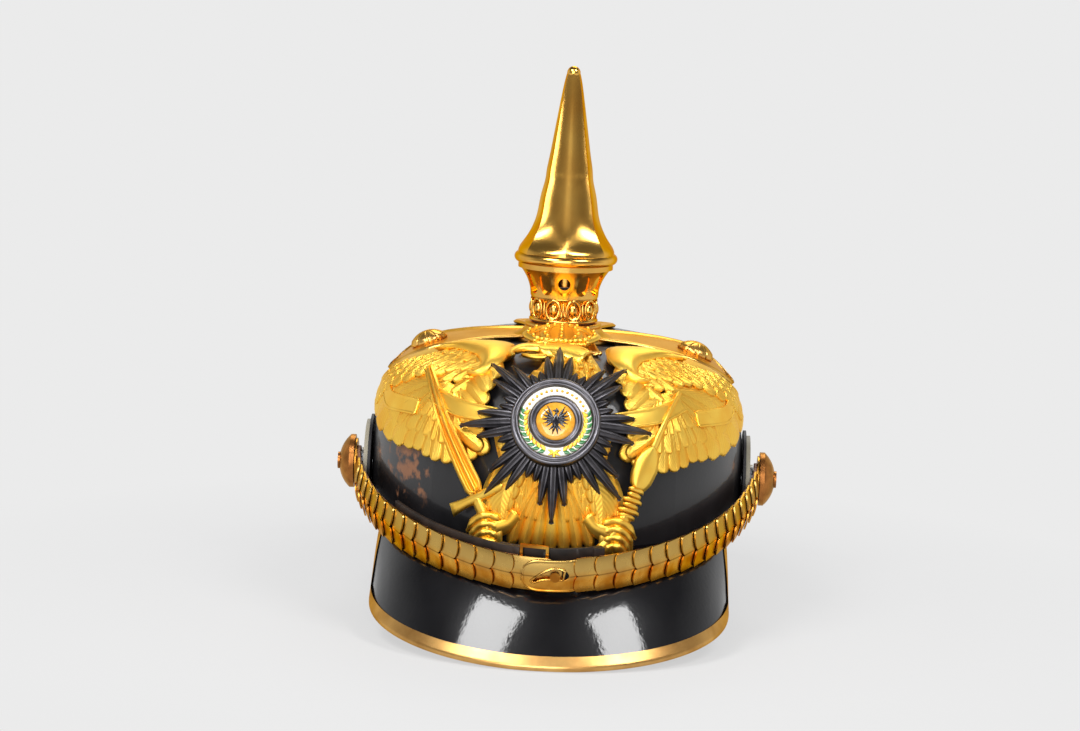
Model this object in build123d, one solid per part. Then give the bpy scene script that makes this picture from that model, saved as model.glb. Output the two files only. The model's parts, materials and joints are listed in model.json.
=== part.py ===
from build123d import *
import os
from functools import cache
from math import acos, asin, atan2, cos, degrees, pi, radians, sin, sqrt

# A spiked parade helmet in millimetres. The front faces -Y, the spike stands on the Z axis,
# the rims of both visors rest on z = 0. Left and right are the wearer's, so left is +X.

# Skull: an oval leather shell whose wall turns over into a flat crown. Its plan is an oval of
# four arcs, and its profile, drawn inwards from the wall, is three arcs tangent to each other.
skull_half_width = 88.5
skull_half_length = 110.0
skull_end_radius = 75.0
skull_foot_height = 40.0
crown_height = 127.5
wall_radius = 131.5
wall_turn = 11.5
shoulder_radius = 35.0
shoulder_turn = 77.9
crown_radius = 153.0
leather_thickness = 2.6

# Clearances
seat_gap = 0.05
running_gap = 0.08
free_gap = 0.3
overrun = 10.0

# Visors
visor_thickness = 2.2
visor_seat_height = 44.0
visor_flange_height = 6.0
visor_flange_thickness = 1.25
visor_bulge = 2.6
visor_section_count = 11
visor_row_count = 4
visor_seat_half_width = 80.0
reach = 149.0
front_rim_half_width = 82.6
front_rim_depth = 71.2
front_corner_rise = 14.0
rear_rim_half_width = 86.0
rear_rim_depth = 107.0
rear_corner_rise = 36.0
rear_rim_angle = 78.0
floor_flat_depth = 0.35
trim_wall = 0.8
trim_slot_gap = 0.15
trim_lap = 4.2
trim_side_lap = 2.6
lining_thickness = 0.6

# Sweatband and silk dome
sweatband_thickness = 1.2
sweatband_top_height = 76.0
sweatband_top_inset = 8.4
silk_thickness = 0.8

# Cross base
base_sheet_thickness = 1.3
side_arm_reach = 82.0
side_arm_half_width = 26.0
front_arm_reach = 53.0
front_arm_half_width = 19.3
front_arm_root_half_width = 13.0
hub_radius = 30.0
collar_radius = 17.4
collar_foot_height = 132.8
collar_top_height = 136.0
vent_bore_radius = 10.5

# Neck stack
gasket_thickness = 1.0
gasket_radius = 15.2
pearl_ring_height = 11.5
pearl_ring_radius = 16.2
pearl_ring_waist_radius = 14.6
pearl_ring_bead_height = 1.4
pearl_count = 10
pearl_half_width = 3.4
pearl_half_height = 4.2
pearl_bulge = 2.3
neck_height = 13.5
neck_foot_radius = 16.2
neck_mouth_radius = 21.6
neck_lip_radius = 22.6
neck_lip_height = 2.4
neck_wall = 1.6
neck_floor_thickness = 1.2
neck_bridge_thickness = 4.0
neck_panel_count = 12
neck_panel_depth = 0.7
neck_panel_width = 5.8
neck_panel_length = 11.0
neck_panel_height = 7.2
vent_hole_radius = 2.9
vent_count = 4

# Threaded sleeve that clamps the stack through the crown, and its ring nut inside
sleeve_radius = 10.3
sleeve_wall = 1.4
sleeve_flange_radius = 13.6
sleeve_flange_thickness = 1.2
ring_nut_radius = 17.0
ring_nut_thickness = 2.4
inner_washer_thickness = 0.8

# Spike
spike_flute_count = 7
spike_bead_radius = 24.6
spike_bead_height = 5.0
spike_height = 93.6
spike_bore_foot_radius = 11.0
spike_bore_tip_radius = 2.2
spike_bore_depth = 78.0
plug_radius = 8.0
plug_length = 11.0
plug_flange_radius = 12.0
plug_flange_thickness = 2.0

# Studs of the cross base, with star-shaped heads, and the low screw of its short arm
stud_reach = 63.9
stud_head_radius = 9.4
stud_head_notch_radius = 7.6
stud_head_height = 3.4
stud_head_foot = 0.6
stud_ray_count = 10
post_radius = 1.7
inner_nut_radius = 4.6
inner_nut_thickness = 1.8
front_screw_reach = 36.0
front_screw_head_radius = 4.2
front_screw_head_height = 1.3

# Eagle plate, laid out in views that look squarely at the dome's front and its two cheeks
relief_height = 90.0
relief_tilt = 25.0
relief_reach = 170.0
eagle_foot_height = 47.0
wing_view_angle = 40.0
plate_lift = 1.6
layer_sink = 0.5
low_relief = 3.0
feather_step = 0.5
middle_relief = 3.9
high_relief = 4.8
ribbon_relief = 4.2
top_relief = 5.6
wing_reach = 75.0
wing_short_reach = 40.0
wing_pivot_in = 20.0
wing_pivot_drop = 12.0
wing_first_angle = 190.0
wing_even_angle = 245.0
wing_last_angle = 305.0
primary_count = 10
primary_width = 9.4
covert_width = 8.0
tail_length = 33.0
tail_root_drop = 58.0
tail_root_spread = 10.0
tail_half_angle = 29.0
tail_feather_width = 6.2
tail_feather_count = 7
breast_radius = 29.0
breast_drop = 34.0
limb_size = 90.0
thigh_radius = 10.5
leg_width = 9.0
claw_radius = 7.0
crown_ramp_start = 46.0
crown_ramp_foot = 131.2
crown_ramp_angle = 8.6
crown_thickness = 2.2
plate_post_reach = 46.0
plate_post_height = 108.0

# Breast star
star_lift = 6.0
star_thickness = 1.6
star_centre_drop = 33.5
star_radius = 43.5
star_notch_radius = 23.0
star_standing = 111.4
outer_bezel_radius = 20.0
outer_bezel_width = 3.8
inner_bezel_radius = 11.6
inner_bezel_width = 2.9
enamel_recess = 0.9
medallion_recess = 0.5
star_post_reach = 15.0
star_post_height = 96.0

# Rear spine
spine_half_width = 6.5
spine_thickness = 1.1
spine_start = 56.0
spine_screw_radius = 1.4
spine_screw_head_radius = 3.0
spine_screw_head_height = 1.1
spine_nut_thickness = 1.4
spine_curve_room = 0.4

# Cockades, bushings and rosettes
pivot_height = 64.0
cockade_radius = 23.0
cockade_thickness = 1.3
cockade_ring_outer_radius = 20.5
cockade_ring_inner_radius = 12.5
cockade_ring_thickness = 2.0
bushing_radius = 4.8
bushing_shoulder_radius = 6.6
bushing_bore_radius = 2.2
bushing_nut_radius = 8.0
bushing_nut_thickness = 2.4
rosette_radius = 12.8
rosette_height = 7.2
rosette_rim_height = 2.2
rosette_screw_head_radius = 4.0
rosette_screw_head_height = 1.0
rosette_screw_length = 18.0

# Chin scale band: a bow hinged under the rosettes, its plane sloping down to the front
band_half_span = 94.5
band_reach = 131.0
band_slope = 10.45
band_leather_thickness = 1.6
band_leather_width = 15.0
band_leather_end = 14.2
strip_section_count = 12
eye_plate_radius = 11.0
eye_plate_length = 13.0
eye_plate_thickness = 0.7
scale_thickness = 0.7
scale_gap = 0.35
scale_bow_radius = 26.0
scale_pitch = 9.2
scale_overlap = 3.2
scale_lobe_bulge = 2.2
scale_side_height = 19.0
scale_front_height = 15.6
first_scale_root = 14.0

# Hooked end plates: the wearer's left one lies over the right one
end_plate_height = 15.6
end_plate_thickness = 0.7
end_plate_section_count = 5
end_plate_root = 16.5
over_plate_root = 9.6
over_plate_tip = 10.0
over_plate_foot_length = 3.0
over_scale_end = 10.0
under_plate_tip = 5.6
under_scale_end = 14.3
hook_radius = 1.2
hook_head_radius = 2.3
hook_head_thickness = 0.8
hook_place = 2.6
hook_slot_length = 11.0
hook_slot_width = 3.4
hook_slot_place = -0.5

# Strap and buckle behind the scales, on the wearer's right half
strap_thickness = 1.5
strap_width = 8.0
strap_rise = 6.8
strap_foot_length = 5.0
right_strap_start = 82.0
left_strap_start = 150.0
left_strap_tip = 24.0
buckle_half_length = 6.5
buckle_half_height = 5.6
buckle_wire = 1.3
buckle_sink = 0.15
buckle_place = 7.0
prong_radius = 0.55

# Shares: points along curves, as parts of the sizes that they follow
visor_lean_share = 0.37
lining_along_share = 0.93
lining_out_shares = (0.04, 0.88)
arm_edge_shares = ((0.0, 0.5), (0.4, 0.72), (0.75, 1.0), (0.93, 0.6), (1.0, 0.0))
neck_hollow_share = 0.8
hub_flare_shares = (0.22, 0.86)
neck_curve_shares = ((0.0, 0.0), (0.26, 0.5), (1.0, 1.0))
spike_outline_shares = (
    (0.95, 0.045, 0.97), (0.878, 0.096, 0.93), (0.772, 0.137, 0.88), (0.69, 0.18, 0.85), (0.63, 0.225, 0.83),
    (0.577, 0.3, 0.82), (0.512, 0.381, 0.82), (0.46, 0.463, 0.82), (0.407, 0.544, 0.82), (0.358, 0.625, 0.82),
    (0.309, 0.706, 0.83), (0.26, 0.787, 0.84), (0.21, 0.868, 0.86), (0.165, 0.93, 0.87), (0.13, 0.965, 0.88),
)
stud_top_share = 0.35
feather_root_share = 0.45
covert_reach_share = 0.72
wing_sweep_share = 1.5
arm_outline_shares = (
    (-0.68, -0.2), (-0.58, -0.08), (-0.42, -0.02), (-0.22, 0.03), (-0.1, 0.17),
    (0.04, 0.225), (0.24, 0.2), (0.4, 0.08), (0.44, -0.06), (0.38, -0.16), (0.16, -0.2), (-0.2, -0.2), (-0.45, -0.24),
)
shoulder_outline_shares = (
    (-0.3, -0.03), (-0.16, 0.05), (-0.07, 0.18), (0.06, 0.21), (0.26, 0.17), (0.37, 0.06),
    (0.36, -0.05), (0.22, -0.04), (0.02, -0.04),
)
ribbon_inner_shares = ((0.1, -0.3), (0.36, -0.36), (0.66, -0.36))
ribbon_outer_shares = ((-0.52, -0.26), (-0.28, -0.37), (0.0, -0.395))
ribbon_width_share = 0.1
sword_shares = ((-0.66, 0.0), (-0.56, -0.37), (-0.39, -0.7))
sword_width_shares = (0.022, 0.038, 0.046)
guard_shares = ((-0.49, -0.775), (-0.26, -0.7))
guard_width_shares = (0.03, 0.03)
sceptre_shares = ((0.61, -0.13), (0.5, -0.43), (0.43, -0.6), (0.4, -0.76), (0.26, -0.97))
sceptre_width_shares = (0.03, 0.03, 0.062, 0.036, 0.04)
claw_share = (0.33, -0.84)
thigh_share = (0.235, -0.74)
thigh_length_share = 1.3
head_outline_shares = (
    (-0.235, -0.64), (-0.17, -0.54), (-0.07, -0.49), (0.08, -0.52), (0.16, -0.7), (0.17, -0.86),
    (-0.09, -0.9), (-0.06, -0.8), (-0.16, -0.75), (-0.2, -0.7),
)
crown_outline_shares = ((-0.13, -0.52), (-0.17, -0.3), (-0.08, -0.22), (0.09, -0.22), (0.18, -0.3), (0.12, -0.52))
star_bundle_shares = (0.66, 0.83, 1.0, 0.83, 0.66)
spine_along_share = 0.065
spine_out_shares = (0.0, 0.97)
spine_screw_share = 0.86
band_path_shares = ((1.0, 0.0), (0.965, 0.2), (0.865, 0.45), (0.675, 0.7), (0.38, 0.905), (0.0, 1.0))
rosette_dome_share = 0.72

gasket_foot = collar_top_height
pearl_foot = gasket_foot + gasket_thickness
neck_foot = pearl_foot + pearl_ring_height
neck_lip_foot = neck_foot + neck_height
spike_foot = neck_lip_foot + neck_lip_height


def turned(points, axis=Axis.Z):
    """Solid turned about the axis from a closed outline of (radius, height) points."""
    outline = Polyline(*[(radius, 0, height) for radius, height in points], close=True)
    return revolve(make_face(outline), axis)


def disc(plane, radius, low, high):
    """Cylinder on the plane's normal, from one distance to another."""
    return extrude(plane.offset(low) * Circle(radius), high - low)


def ring(plane, radius, bore, low, high):
    """Flat ring on the plane's normal, from one distance to another."""
    return extrude(plane.offset(low) * (Circle(radius) - Circle(bore)), high - low)


# The four arcs of the skull's plan: two end arcs and two flatter side arcs
end_centre = skull_half_length - skull_end_radius
skull_side_radius = (end_centre**2 + skull_half_width**2 - skull_end_radius**2) / (
    2 * (skull_half_width - skull_end_radius))
side_centre = skull_side_radius - skull_half_width
side_half_turn = degrees(atan2(end_centre, side_centre))

# The three arcs of its profile as (radius, start angle, end angle), the angles being the slope of the normal
profile_arcs = (
    (wall_radius, 0, radians(wall_turn)),
    (shoulder_radius, radians(wall_turn), radians(shoulder_turn)),
    (crown_radius, radians(shoulder_turn), pi / 2),
)
crown_inset = sum(radius * (cos(start) - cos(end)) for radius, start, end in profile_arcs)
wall_height = crown_height - sum(radius * (sin(end) - sin(start)) for radius, start, end in profile_arcs)


def oval_edges(inset, height):
    """Closed outline of the skull's plan at a height, moved in by the inset."""
    end, side = skull_end_radius - inset, skull_side_radius - inset
    turn = radians(side_half_turn)
    corner = (side * cos(turn) - side_centre, side * sin(turn))
    half_width, half_length = skull_half_width - inset, skull_half_length - inset
    edges = []
    for x, y in ((1, 1), (-1, -1)):
        right, left = (x * corner[0], y * corner[1], height), (-x * corner[0], y * corner[1], height)
        edges.append(ThreePointArc(right, (0, y * half_length, height), left))
        edges.append(ThreePointArc(left, (-x * half_width, 0, height), (left[0], -left[1], height)))
    return Face(Wire(edges))


def profile_points(offset):
    """Middle and end points of the profile's arcs as (inset, height), moved out by the offset."""
    inset, height = 0, wall_height
    points = []
    for radius, start, end in profile_arcs:
        for angle in ((start + end) / 2, end):
            points.append((
                inset + radius * (cos(start) - cos(angle)) - offset * cos(angle),
                height + radius * (sin(angle) - sin(start)) + offset * sin(angle),
            ))
        inset += radius * (cos(start) - cos(end))
        height += radius * (sin(end) - sin(start))
    return points


def dome_sector(offset, radius, turn):
    """Part of the dome swept by its profile round one arc of the plan, from the X axis on."""
    points = [(radius - inset, 0, height) for inset, height in profile_points(offset)]
    corner = (radius + offset, 0, wall_height)
    low_out, low_in = (corner[0], 0, skull_foot_height), (points[-1][0], 0, skull_foot_height)
    ends = [corner, points[1], points[3], points[5]]
    arcs = [ThreePointArc(ends[step], points[2 * step], ends[step + 1]) for step in range(3)]
    lines = [Line(points[5], low_in), Line(low_in, low_out), Line(low_out, corner)]
    return revolve(Face(Wire(arcs + lines)), Axis.Z, revolution_arc=turn)


@cache
def dome(offset):
    """Solid inside the skull's form when its wall is moved out by the offset."""
    height = crown_height + offset - skull_foot_height
    body = extrude(oval_edges(crown_inset, skull_foot_height), height, dir=(0, 0, 1))
    end_turn = 180 - 2 * side_half_turn
    for half_turn in (0, 180):
        turned_half = Rot(0, 0, half_turn)
        body += turned_half * Pos(-side_centre, 0, 0) * Rot(0, 0, -side_half_turn) * dome_sector(
            offset, skull_side_radius, 2 * side_half_turn)
        body += turned_half * Pos(0, end_centre, 0) * Rot(0, 0, side_half_turn) * dome_sector(
            offset, skull_end_radius, end_turn)
    return body


@cache
def skin(low, high):
    """Layer of the skull's form between two offsets."""
    return dome(high) - dome(low)


def plan_direction(x, y):
    """Outward direction in plan at a point, and how far it lies inside the skull's outline."""
    if atan2(abs(y), abs(x) + side_centre) <= radians(side_half_turn):
        away, radius = Vector(abs(x) + side_centre, abs(y)), skull_side_radius
    else:
        away, radius = Vector(abs(x), abs(y) - end_centre), skull_end_radius
    direction = Vector(away.X * (1 if x >= 0 else -1), away.Y * (1 if y >= 0 else -1))
    return direction.normalized(), radius - away.length


def crown_seat(x, y):
    """Plane that lies on the crown above (x, y)."""
    direction, inset = plan_direction(x, y)
    height, slope = wall_height, pi / 2
    for radius, start, end in profile_arcs:
        width = radius * (cos(start) - cos(end))
        if inset <= width:
            slope = acos(cos(start) - inset / radius)
            height += radius * (sin(slope) - sin(start))
            break
        inset -= width
        height += radius * (sin(end) - sin(start))
    normal = direction * cos(slope) + Vector(0, 0, sin(slope))
    return Plane(origin=(x, y, height), x_dir=normal.cross(Vector(1, 0, 0)), z_dir=normal)


def front_seat(x, z):
    """Plane that lies on the skull's front at (x, z)."""
    inset, height = 0, wall_height
    for radius, start, end in profile_arcs:
        rise = radius * (sin(end) - sin(start))
        if z <= height + rise:
            slope = asin(sin(start) + (z - height) / radius)
            inset += radius * (cos(start) - cos(slope))
            break
        inset += radius * (cos(start) - cos(end))
        height += rise
    reach_out = skull_end_radius - inset
    y = -sqrt(reach_out**2 - x**2)
    normal = Vector(x, y).normalized() * cos(slope) + Vector(0, 0, sin(slope))
    return Plane(origin=(x, y - end_centre, z), x_dir=normal.cross(Vector(0, 0, 1)), z_dir=normal)


stud_seats = [crown_seat(stud_reach, 0), crown_seat(-stud_reach, 0), crown_seat(0, stud_reach)]
screw_seat = crown_seat(0, -front_screw_reach)
plate_seats = [front_seat(side * plate_post_reach, plate_post_height) for side in (1, -1)]
star_seats = [front_seat(side * star_post_reach, star_post_height) for side in (1, -1)]
inner_nut_foot = -leather_thickness - seat_gap - inner_washer_thickness


def pivot_plane(side):
    """Plane across the rosette's axis at the skull's middle, facing the given side."""
    return Plane(origin=(0, 0, pivot_height), x_dir=(0, 0, 1), z_dir=(side, 0, 0))


def skull_shell():
    """Leather skull with its vent bore and the holes of every fastener."""
    body = skin(-leather_thickness, 0)
    body -= disc(Plane.XY, vent_bore_radius, crown_height - overrun, crown_height + overrun)
    for seat in stud_seats + [screw_seat] + plate_seats + star_seats:
        body -= disc(seat, post_radius + running_gap, -overrun, overrun)
    for side in (1, -1):
        hole = disc(pivot_plane(side), bushing_radius + running_gap, 0, band_half_span)
        body -= hole
    return body


def seam_point(side, turn):
    """Point of a visor's seam where the skull's outline faces the given angle from the middle."""
    on_end = abs(turn) <= pi / 2 - radians(side_half_turn)
    radius = (skull_end_radius if on_end else skull_side_radius) + seat_gap
    across = 0 if on_end else side_centre * (1 if turn > 0 else -1)
    out = end_centre if on_end else 0
    return Vector(radius * sin(turn) - across, side * (radius * cos(turn) + out), visor_seat_height)


def visor_point(side, along_share, out_share, lift):
    """Point above a visor's middle surface by the lift. Side is -1 in front and 1 behind."""
    front = side < 0
    seat_turn = asin((visor_seat_half_width + side_centre) / skull_side_radius) * along_share
    half_width = front_rim_half_width if front else rear_rim_half_width
    depth = front_rim_depth if front else rear_rim_depth
    rise = front_corner_rise if front else rear_corner_rise
    nose = visor_thickness / 2 + trim_wall if front else visor_thickness * visor_lean_share
    swing = (pi / 2 if front else radians(rear_rim_angle)) * along_share
    top = seam_point(side, seat_turn)
    rim = Vector(
        half_width * sin(swing),
        side * (reach - nose - depth * (1 - cos(swing))),
        nose - floor_flat_depth + rise * (1 - cos(swing)),
    )
    slope = rim - top
    normal = slope.cross(Vector(-slope.Y, slope.X, 0)).normalized()
    if normal.Z < 0:
        normal = normal * -1
    bulge = visor_bulge * sin(pi * min(out_share, 1))
    return top + slope * out_share + normal * (bulge + lift)


def visor_length(side, along_share):
    """Straight distance from a visor's seam to its rim."""
    return (visor_point(side, along_share, 1, 0) - visor_point(side, along_share, 0, 0)).length


def visor_sheet(side, low, high, along_shares=(-1, 1), out_shares=(0, 1)):
    """Sheet between two lifts above a visor's middle surface, over the given shares of it."""
    sections = []
    out_start, out_end = out_shares
    for column in range(visor_section_count):
        spread = along_shares[1] - along_shares[0]
        along_share = along_shares[0] + spread * column / (visor_section_count - 1)
        shares = [out_start + (out_end - out_start) * row / visor_row_count for row in range(visor_row_count + 1)]
        under = [visor_point(side, along_share, share, low) for share in shares]
        over = [visor_point(side, along_share, share, high) for share in reversed(shares)]
        outline = [Spline(*under), Line(under[-1], over[0]), Spline(*over), Line(over[-1], under[0])]
        sections.append(Face(Wire(outline)))
    return loft(sections)


def above_table(shape):
    """The shape without what lies under the table."""
    return shape - Pos(0, 0, -reach / 2) * Box(4 * reach, 4 * reach, reach)


def seam_flange(side):
    """Upright band by which a visor laps over the skull's foot."""
    foot = visor_seat_height - visor_thickness / 2
    room = Pos(0, side * reach / 2, foot + visor_flange_height / 2)
    room *= Box(2 * visor_seat_half_width, reach, visor_flange_height)
    return skin(seat_gap, visor_flange_thickness) & room


def visor(side):
    """Leather visor: a bulged sheet and the flange that is sewn to the skull."""
    half = visor_thickness / 2
    return above_table(visor_sheet(side, -half, half) - dome(seat_gap) + seam_flange(side))


def visor_lining(side):
    """Thin lining glued under a visor."""
    top = -visor_thickness / 2 - seat_gap
    along_shares = (-lining_along_share, lining_along_share)
    sheet = visor_sheet(side, top - lining_thickness, top, along_shares, lining_out_shares)
    return above_table(sheet - dome(visor_flange_thickness + seat_gap))


def trim_section(along_share):
    """Folded outline of the front trim across the rim."""
    shell, slot = visor_thickness / 2 + trim_wall, visor_thickness / 2 + trim_slot_gap
    length = visor_length(-1, along_share)
    lap, lip = 1 - trim_lap / length, 1 + trim_slot_gap / length

    def at(out_share, lift):
        return visor_point(-1, along_share, out_share, lift)

    corners = [at(1, shell), at(lap, shell), at(lap, slot), at(lip, slot), at(lip, -slot), at(lap, -slot)]
    corners += [at(lap, -shell), at(1, -shell)]
    nose = ThreePointArc(corners[-1], at(1 + shell / length, 0), corners[0])
    return Face(Wire([nose] + [Line(start, end) for start, end in zip(corners, corners[1:])]))


def front_visor_trim():
    """Folded metal rim along the front visor's edge, with a bar up each side."""
    shell, slot = visor_thickness / 2 + trim_wall, visor_thickness / 2 + trim_slot_gap
    columns = range(visor_section_count)
    body = loft([trim_section(2 * column / (visor_section_count - 1) - 1) for column in columns])
    rim_half_length = front_rim_half_width * pi / 2
    for side in (1, -1):
        shares = sorted((side * (1 - trim_side_lap / rim_half_length), side * (1 + shell / rim_half_length)))
        body += visor_sheet(-1, -shell, shell, shares) - visor_sheet(-1, -slot, slot)
    return above_table(body - dome(visor_flange_thickness + seat_gap))


def sweatband():
    """Leather band sewn in at the skull's foot that leans in towards the head."""
    places = ((leather_thickness + seat_gap, skull_foot_height), (sweatband_top_inset, sweatband_top_height))
    outer, inner = [
        loft([oval_edges(inset + depth, height) for inset, height in places], ruled=True)
        for depth in (0, sweatband_thickness)
    ]
    return outer - inner


def silk_lining():
    """Thin dome of silk that rises from the sweatband's upper edge."""
    foot = sweatband_top_height + seat_gap
    room = Pos(0, 0, foot + reach / 2) * Box(2 * reach, 2 * reach, reach)
    return skin(-sweatband_top_inset - silk_thickness, -sweatband_top_inset) & room


def petal():
    """Outline of a long arm of the cross base, along +X: a swelling flank and a rounded end."""
    points = [(out * side_arm_reach, across * side_arm_half_width) for out, across in arm_edge_shares]
    edges = [ThreePointArc(*points[:3]), ThreePointArc(*points[2:5])]
    half = make_face(edges + [Line(points[-1], (0, 0)), Line((0, 0), points[0])])
    return half + mirror(half, Plane.XZ)


def cross_outline():
    """Plan of the cross base: three long arms and a short square one in front."""
    arms = Sketch() + [Rot(0, 0, turn) * petal() for turn in (0, 90, 180)]
    root, tip = front_arm_root_half_width, front_arm_half_width
    return arms + Polygon((root, 0), (-root, 0), (-tip, -front_arm_reach), (tip, -front_arm_reach), align=None)


def cross_base():
    """Sheet cross on the crown with the hub that flares up to the collar."""
    foot = crown_height + seat_gap
    top = foot + base_sheet_thickness
    flare = ThreePointArc(
        (hub_radius, 0, top),
        (collar_radius + (hub_radius - collar_radius) * hub_flare_shares[0], 0,
         top + (collar_foot_height - top) * (1 - hub_flare_shares[1])),
        (collar_radius, 0, collar_foot_height),
    )
    corners = [
        (collar_radius, 0, collar_foot_height), (collar_radius, 0, collar_top_height),
        (vent_bore_radius, 0, collar_top_height), (vent_bore_radius, 0, foot), (hub_radius, 0, foot),
        (hub_radius, 0, top),
    ]
    hub = Face(Wire([flare] + [Line(start, end) for start, end in zip(corners, corners[1:])]))
    sheet = skin(seat_gap, seat_gap + base_sheet_thickness) & extrude(cross_outline(), spike_foot, dir=(0, 0, 1))
    body = sheet + revolve(hub, Axis.Z) - disc(Plane.XY, vent_bore_radius, wall_height, spike_foot)
    for seat in stud_seats + [screw_seat]:
        body -= disc(seat, post_radius + running_gap, -overrun, overrun)
    return body


def star_polygon(radius, notch_radius, count):
    """Star with the given number of points."""
    sizes = (radius, notch_radius)
    turns = [(sizes[step % 2], pi * step / count) for step in range(2 * count)]
    return Polygon(*[(size * cos(turn), size * sin(turn)) for size, turn in turns], align=None)


def cross_stud(seat, foot):
    """Star-headed stud with its threaded post, its head standing on the foot distance."""
    star = star_polygon(stud_head_radius, stud_head_notch_radius, stud_ray_count)
    edge = foot + stud_head_foot
    top = star_polygon(stud_head_radius * stud_top_share, stud_head_notch_radius * stud_top_share, stud_ray_count)
    head = extrude(seat.offset(foot) * star, stud_head_foot)
    head += loft([seat.offset(edge) * star, seat.offset(foot + stud_head_height) * top], ruled=True)
    return head + disc(seat, post_radius, inner_nut_foot - inner_nut_thickness, edge)


def cross_studs():
    """The three studs. The rear one also holds the spine's upper end."""
    foot = base_sheet_thickness + 2 * seat_gap
    feet = (foot, foot, foot + spine_thickness + seat_gap)
    return [cross_stud(seat, height) for seat, height in zip(stud_seats, feet)]


def cross_front_screw():
    """Low screw that holds the short arm."""
    foot = base_sheet_thickness + 2 * seat_gap
    head = disc(screw_seat, front_screw_head_radius, foot, foot + front_screw_head_height)
    return head + disc(screw_seat, post_radius, inner_nut_foot - inner_nut_thickness, foot)


def inner_washers(seats):
    """Leather washers that lie against the skull's inner face."""
    bore = post_radius + seat_gap
    top = -leather_thickness - seat_gap
    return [ring(seat, inner_nut_radius, bore, top - inner_washer_thickness, top) & dome(top) for seat in seats]


def inner_nuts(seats):
    """Hexagon nuts on the posts inside the skull."""
    outline = RegularPolygon(inner_nut_radius, 6) - Circle(post_radius + seat_gap)
    low = inner_nut_foot - seat_gap - inner_nut_thickness
    return [extrude(seat.offset(low) * outline, inner_nut_thickness) for seat in seats]


def neck_gasket():
    """Leather washer between collar and pearl ring."""
    return ring(Plane.XY, gasket_radius, sleeve_radius + running_gap, gasket_foot, pearl_foot)


def pearl_ring():
    """Waisted ring with upright egg-shaped pearls between two beads."""
    top = pearl_foot + pearl_ring_height
    bead = pearl_ring_bead_height
    bore = sleeve_radius + running_gap
    body = turned([
        (bore, pearl_foot), (pearl_ring_radius, pearl_foot), (pearl_ring_radius, pearl_foot + bead),
        (pearl_ring_waist_radius, pearl_foot + bead), (pearl_ring_waist_radius, top - bead),
        (pearl_ring_radius, top - bead), (pearl_ring_radius, top), (bore, top),
    ])
    egg_outline = Ellipse(pearl_half_width, pearl_half_height) & Pos(reach / 2, 0) * Rectangle(reach, reach)
    egg_half = Plane.XZ * egg_outline
    egg = revolve(egg_half, Axis.Z)
    place = Pos(pearl_ring_waist_radius + pearl_bulge - pearl_half_width, 0, pearl_foot + pearl_ring_height / 2)
    body += [Rot(0, 0, 360 * (step + 1 / 2) / pearl_count) * place * egg for step in range(pearl_count)]
    return body - disc(Plane.XY, bore, pearl_foot - overrun, top + overrun)


def neck_curve(inset):
    """Points of the neck's flared wall, moved in by the inset."""
    flare = neck_mouth_radius - neck_foot_radius
    return [
        (neck_foot_radius + flare * out - inset, 0, neck_foot + neck_height * up) for out, up in neck_curve_shares
    ]


def joined(curve, corners):
    """Closed face from a curve and the straight lines that run on through the corners."""
    points = [curve @ 1, *corners, curve @ 0]
    return Face(Wire([curve] + [Line(start, end) for start, end in zip(points, points[1:])]))


def neck():
    """Flared neck with arched panels, vent holes and a bridge for the spike's thread."""
    outer = joined(ThreePointArc(*neck_curve(0)), [
        (neck_lip_radius, 0, neck_lip_foot), (neck_lip_radius, 0, spike_foot), (0, 0, spike_foot), (0, 0, neck_foot),
    ])
    floor, bridge = neck_foot + neck_floor_thickness, spike_foot - neck_bridge_thickness
    wall = ThreePointArc(*neck_curve(neck_wall)).trim(0, neck_hollow_share)
    hollow = joined(wall, [((wall @ 1).X, 0, bridge), (0, 0, bridge), (0, 0, neck_foot)])
    body = revolve(outer, Axis.Z) - revolve(hollow, Axis.Z)
    body += ring(Plane.XY, neck_foot_radius - neck_wall / 2, sleeve_radius + running_gap, neck_foot, floor)
    body -= disc(Plane.XY, plug_radius + running_gap, floor, spike_foot + overrun)
    lean = degrees(atan2(neck_mouth_radius - neck_foot_radius, neck_height))
    panel_radius = neck_curve(0)[1][0] - neck_panel_depth
    panel = extrude(Plane.YZ * SlotOverall(neck_panel_length, neck_panel_width, rotation=90), overrun)
    seat = Pos(panel_radius, 0, neck_foot + neck_panel_height) * Rot(0, lean, 0)
    cuts = [Rot(0, 0, 360 * step / neck_panel_count) * seat * panel for step in range(neck_panel_count)]
    hole = extrude(Plane.YZ * Circle(vent_hole_radius), neck_lip_radius)
    for step in range(vent_count):
        cuts.append(Rot(0, 0, 360 * step / vent_count) * Pos(0, 0, neck_foot + neck_panel_height) * hole)
    return body - cuts


def neck_sleeve():
    """Threaded sleeve whose flange presses the neck's floor down on the stack."""
    foot = crown_height - leather_thickness - inner_washer_thickness - ring_nut_thickness - 2 * seat_gap
    flange = neck_foot + neck_floor_thickness + seat_gap
    top = flange + sleeve_flange_thickness
    bore = sleeve_radius - sleeve_wall
    return ring(Plane.XY, sleeve_radius, bore, foot, top) + ring(Plane.XY, sleeve_flange_radius, bore, flange, top)


def neck_inner_washer():
    """Leather washer between ring nut and crown."""
    top = crown_height - leather_thickness - seat_gap
    return ring(Plane.XY, ring_nut_radius, sleeve_radius + running_gap, top - inner_washer_thickness, top)


def neck_ring_nut():
    """Ring nut on the sleeve's lower end."""
    top = crown_height - leather_thickness - inner_washer_thickness - 2 * seat_gap
    outline = RegularPolygon(ring_nut_radius, 8) - Circle(sleeve_radius + running_gap)
    return extrude(Pos(0, 0, top - ring_nut_thickness) * outline, ring_nut_thickness)


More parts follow.
